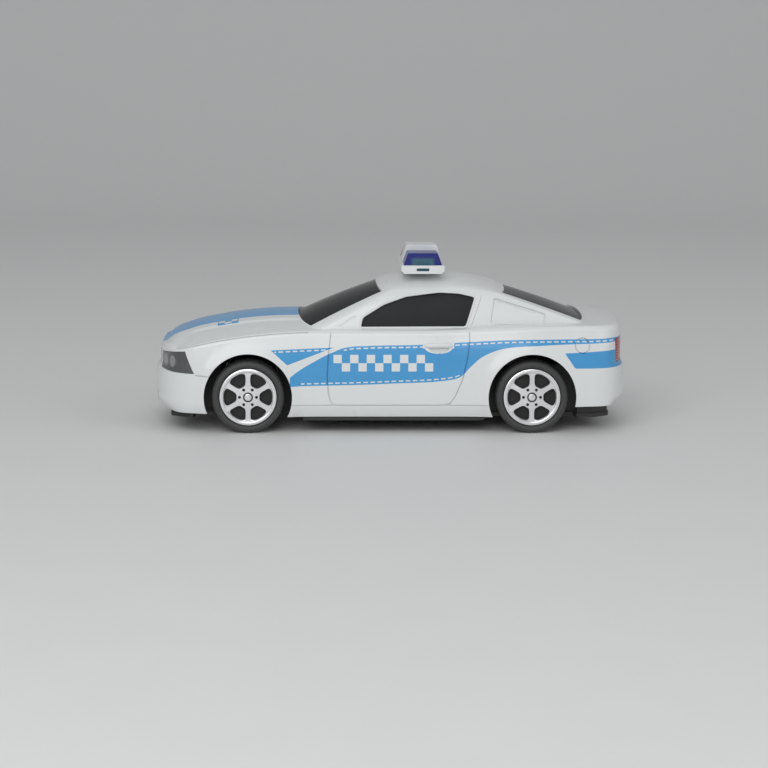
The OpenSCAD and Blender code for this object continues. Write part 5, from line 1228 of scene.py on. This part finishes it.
def rim(shell, name, centre, side):
    """Rim: a turned profile with a rolled lip and a dished face, cut by six windows and six lug holes."""
    h, r = shell.tyre_w / 2, shell.rim_d / 2
    face, end = h - RIM_IN, RIM_SHORT - h
    profile = [(r - RIM_LIP[0][0], end)] + [(r - inwards, face + up) for inwards, up in RIM_LIP]
    profile += [(radius, face + up) for radius, up in RIM_FACE]
    profile += [(r - inwards, face + up) for inwards, up in RIM_BACK] + [(r - RIM_BACK[-1][0], end)]
    body = revolve(name, [(p, side * q) for p, q in profile], centre, 144)
    for i in range(SPOKES):
        angle = i * 2 * np.pi / SPOKES
        turn = np.array([[np.cos(angle), np.sin(angle)], [-np.sin(angle), np.cos(angle)]])
        for outline in (spoke_window(r), circle(LUG_R, 20) + [LUG_AT, 0.0]):
            cut(body, face_cutter(outline, turn, centre, side, face))
    return body


def face_cutter(outline, turn, centre, side, face):
    """A cutter through a rim's face over a turned outline, wider at its outer end."""
    wide = outline + (outline - outline.mean(0)) * SPOKE_WIDEN
    ends = (lambda _, q=flat @ turn, y=face + up: centre + grid(q[:, 0], side * y, q[:, 1])
            for flat, up in ((outline, -SPOKE_DEEP), (wide, SPOKE_OUT)))
    return prism("cut", outline, *ends)


def spoke_window(r):
    """Opening between two spokes: a ring sector drawn as a squared circle in radius and angle."""
    t = np.linspace(0, 2 * np.pi, 56, endpoint=False)
    across, along_r = (np.sign(f) * np.abs(f) ** 0.5 for f in (np.sin(t), np.cos(t)))
    radius = mix(SPOKE_FROM, r - SPOKE_EDGE, (along_r + 1) / 2)
    angle = across * (np.pi / SPOKES - np.arcsin(SPOKE_HALF / radius))
    return np.stack([radius * np.cos(angle), radius * np.sin(angle)], -1)


def groove_shade_ring(shell, name, centre, side):
    """Dark ring laid in the groove round a rim's cap: painted shade in the groove."""
    face = shell.tyre_w / 2 - RIM_IN
    return revolve(name, [(radius, side * (face + up)) for radius, up in CAP_GROOVE_SHADE], centre, 48)


# Finishes of the CAD nodes that stay: colour, roughness, grain scale, grain depth, metallic, coat
NODE_FINISHES = {
    "black_trim": ((0.022, 0.022, 0.022), 0.4, 700.0, 0.02, 0.0, 0.0),
    "reflector_chrome": ((0.75, 0.76, 0.78), 0.12, 200.0, 0.004, 1.0, 0.0),
    "bar_white": ((0.76, 0.78, 0.78), 0.3, 260.0, 0.01, 0.0, 0.35),
    "screw_steel": ((0.55, 0.55, 0.56), 0.32, 1500.0, 0.01, 1.0, 0.0),
    "chassis_black": ((0.038, 0.038, 0.037), 0.55, 1100.0, 0.05, 0.0, 0.0),
    "cell_wrap": ((0.4, 0.27, 0.06), 0.3, 500.0, 0.01, 0.3, 0.2),
    "contact_metal": ((0.65, 0.65, 0.64), 0.25, 900.0, 0.01, 1.0, 0.0),
    "board_green": ((0.02, 0.14, 0.06), 0.45, 600.0, 0.02, 0.0, 0.2),
    "component_grey": ((0.06, 0.06, 0.065), 0.5, 900.0, 0.02, 0.0, 0.0),
    "switch_black": ((0.02, 0.02, 0.02), 0.45, 1000.0, 0.03, 0.0, 0.0),
    "motor_can": ((0.55, 0.55, 0.56), 0.28, 1200.0, 0.01, 1.0, 0.0),
    "shaft_steel": ((0.6, 0.6, 0.61), 0.2, 1600.0, 0.008, 1.0, 0.0),
    "gear_nylon": ((0.72, 0.7, 0.6), 0.4, 800.0, 0.02, 0.0, 0.0),
    "gearbox_plastic": ((0.6, 0.6, 0.57), 0.45, 900.0, 0.03, 0.0, 0.0),
    "bush_bronze": ((0.5, 0.3, 0.11), 0.35, 1800.0, 0.02, 1.0, 0.0),
    "hub_black": ((0.012, 0.012, 0.012), 0.6, 900.0, 0.03, 0.0, 0.0),
}


# Nodes whose edges are rounded, and by how much
SOFTENED = ("light_bar_base", "light_bar_centre", "light_bar_lens_blue", "light_bar_lens_red")
SOFT_EDGE = 0.28


class TOYCAR_OT_node_finishes(bpy.types.Operator):
    """Gives every solid that stays in view its finish, and rounds the edges of the light bar"""

    bl_idname = "toycar.node_finishes"
    bl_label = "Finishes of the solids"

    def execute(self, context):
        sizes, colours = context.scene.toy_car_sizes, context.scene.toy_car_colours
        bulbs = [(Shell(sizes).wall(s, z, 0.0), BULB_R) for s, z in BULBS]
        head, tail = (0.13, 0.135, 0.14), (0.36, 0.008, 0.012)
        made = {
            "clear_lens": lamp_lens("clear_lens", head, 0.12, 0.3, bulbs=bulbs),
            "tail_red": lamp_lens("tail_red", tail, 0.15, 0.0, bars=TAIL_BARS, flute=TAIL_FLUTE),
            "lens_blue": tinted_lens("lens_blue", colours.lens_blue, (0.07, 0.2, 0.28)),
            "lens_red": tinted_lens("lens_red", colours.lens_red, (0.6, 0.16, 0.1)),
            "body_white": shell_white(colours),
            "smoked_window": window_smoke(colours),
            "tyre_rubber": tyre_black(colours),
            "rim_silver": rim_metal(colours),
        }
        for part in frame["record"]["subparts"]:
            slot = part["material_slot"]
            if slot in made:
                material = made[slot]
            else:
                colour, rough, grain, depth, metallic, coat = NODE_FINISHES[slot]
                material = moulded(slot, colour, rough, grain, depth, metallic, coat)
            obj = frame["nodes"][part["node"]]
            obj.data.materials.clear()
            obj.data.materials.append(material)
        for node in SOFTENED:
            soften(node, SOFT_EDGE)
        return {"FINISHED"}


# Floor, in millimetres: its reach, its flat middle, the start and radius of its bend, its height behind
FLOOR_REACH, FLOOR_FLAT, BEND_FROM, BEND_R, FLOOR_TOP = 2500, 500, 900, 600, 2600
# Lamps: name, place, turn in degrees, size and watts
LAMPS = (("key", (-0.3, -0.95, 0.62), (60, 0, -17.5), 0.9, 6.1),
         ("fill", (0.9, -0.6, 0.5), (62, 0, 55), 0.7, 1.6),
         ("top", (0.05, 0.25, 1.1), (-12, 0, 0), 0.8, 0.9))
SKY, SKY_STRENGTH = (0.95, 0.97, 1.0, 1), 0.36
# Camera: sensor and lens in millimetres, place in metres, turn in degrees
SENSOR, LENS, FAR = 36.0, 109.8, 20.0
CAMERA_AT, CAMERA_TURN = (-0.030, -0.956, 0.164), (90 - 8.91, -0.27, -1.64)


class TOYCAR_OT_stage(bpy.types.Operator):
    """Builds the pale floor that bends up behind the car, the soft lights and the camera"""

    bl_idname = "toycar.stage"
    bl_label = "Stage"

    def execute(self, context):
        colours = context.scene.toy_car_colours
        x = np.linspace(-FLOOR_REACH, FLOOR_REACH, 21)[:, None]
        a = np.linspace(0, np.pi / 2, 24)
        near, back = [-FLOOR_REACH, -FLOOR_FLAT, FLOOR_FLAT], [BEND_FROM + BEND_R]
        y = np.concatenate([near, BEND_FROM + BEND_R * np.sin(a), back])[None]
        z = np.concatenate([[0, 0, 0], BEND_R * (1 - np.cos(a)), [FLOOR_TOP]])[None]
        floor = new_object("floor", grid(x + 0 * y, y + 0 * x, z + 0 * x), quads(21, y.shape[1]))
        floor.data.shade_smooth()
        material, tree, shader = new_material("pale_floor")
        finish(tree, shader, colours.floor, 0.6, 60.0, 0.02, 0.01)
        floor.data.materials.append(material)
        self.lights(context)
        self.camera(context)
        context.scene.view_settings.view_transform = "Standard"
        return {"FINISHED"}

    def lights(self, context):
        """A wide soft lamp beside and above the car, weaker ones from behind and the top, a pale sky."""
        world = bpy.data.worlds.new("pale_sky")
        world.use_nodes = True
        background = world.node_tree.nodes["Background"].inputs
        background["Color"].default_value = SKY
        background["Strength"].default_value = SKY_STRENGTH
        context.scene.world = world
        for name, at, turn, size, watts in LAMPS:
            lamp = bpy.data.lights.new(name, "AREA")
            lamp.shape, lamp.size, lamp.energy = "SQUARE", size, watts
            obj = bpy.data.objects.new(name, lamp)
            obj.location, obj.rotation_euler = at, np.radians(turn)
            context.scene.collection.objects.link(obj)

    def camera(self, context):
        """Long lens from the left side of the car, slightly above it."""
        lens = bpy.data.cameras.new("camera")
        lens.sensor_width, lens.lens, lens.clip_end = SENSOR, LENS, FAR
        camera = bpy.data.objects.new("camera", lens)
        camera.location, camera.rotation_euler = CAMERA_AT, np.radians(CAMERA_TURN)
        context.scene.collection.objects.link(camera)
        context.scene.camera = camera


class TOYCAR_PT_panel(bpy.types.Panel):
    """Lists the pieces of the toy car, its sizes and its colours"""

    bl_idname = "TOYCAR_PT_panel"
    bl_label = "Toy police car"
    bl_space_type = "VIEW_3D"
    bl_region_type = "UI"
    bl_category = "Toy car"

    def draw(self, context):
        for operator in OPERATORS:
            self.layout.operator(operator.bl_idname)
        for group in (context.scene.toy_car_sizes, context.scene.toy_car_colours):
            for name in group.__annotations__:
                self.layout.prop(group, name)


OPERATORS = (TOYCAR_OT_shell, TOYCAR_OT_glazing, TOYCAR_OT_fittings, TOYCAR_OT_wheels,
             TOYCAR_OT_node_finishes, TOYCAR_OT_stage)
CLASSES = (ToyCarSizes, ToyCarColours, *OPERATORS, TOYCAR_PT_panel)


def register():
    for item in CLASSES:
        bpy.utils.register_class(item)
    bpy.types.Scene.toy_car_sizes = bpy.props.PointerProperty(type=ToyCarSizes)
    bpy.types.Scene.toy_car_colours = bpy.props.PointerProperty(type=ToyCarColours)


def unregister():
    del bpy.types.Scene.toy_car_colours
    del bpy.types.Scene.toy_car_sizes
    for item in reversed(CLASSES):
        bpy.utils.unregister_class(item)


def main():
    register()
    bpy.ops.toycar.shell()
    bpy.ops.toycar.glazing()
    bpy.ops.toycar.fittings()
    bpy.ops.toycar.wheels()
    bpy.ops.toycar.node_finishes()
    bpy.ops.toycar.stage()


if __name__ == "__main__":
    main()
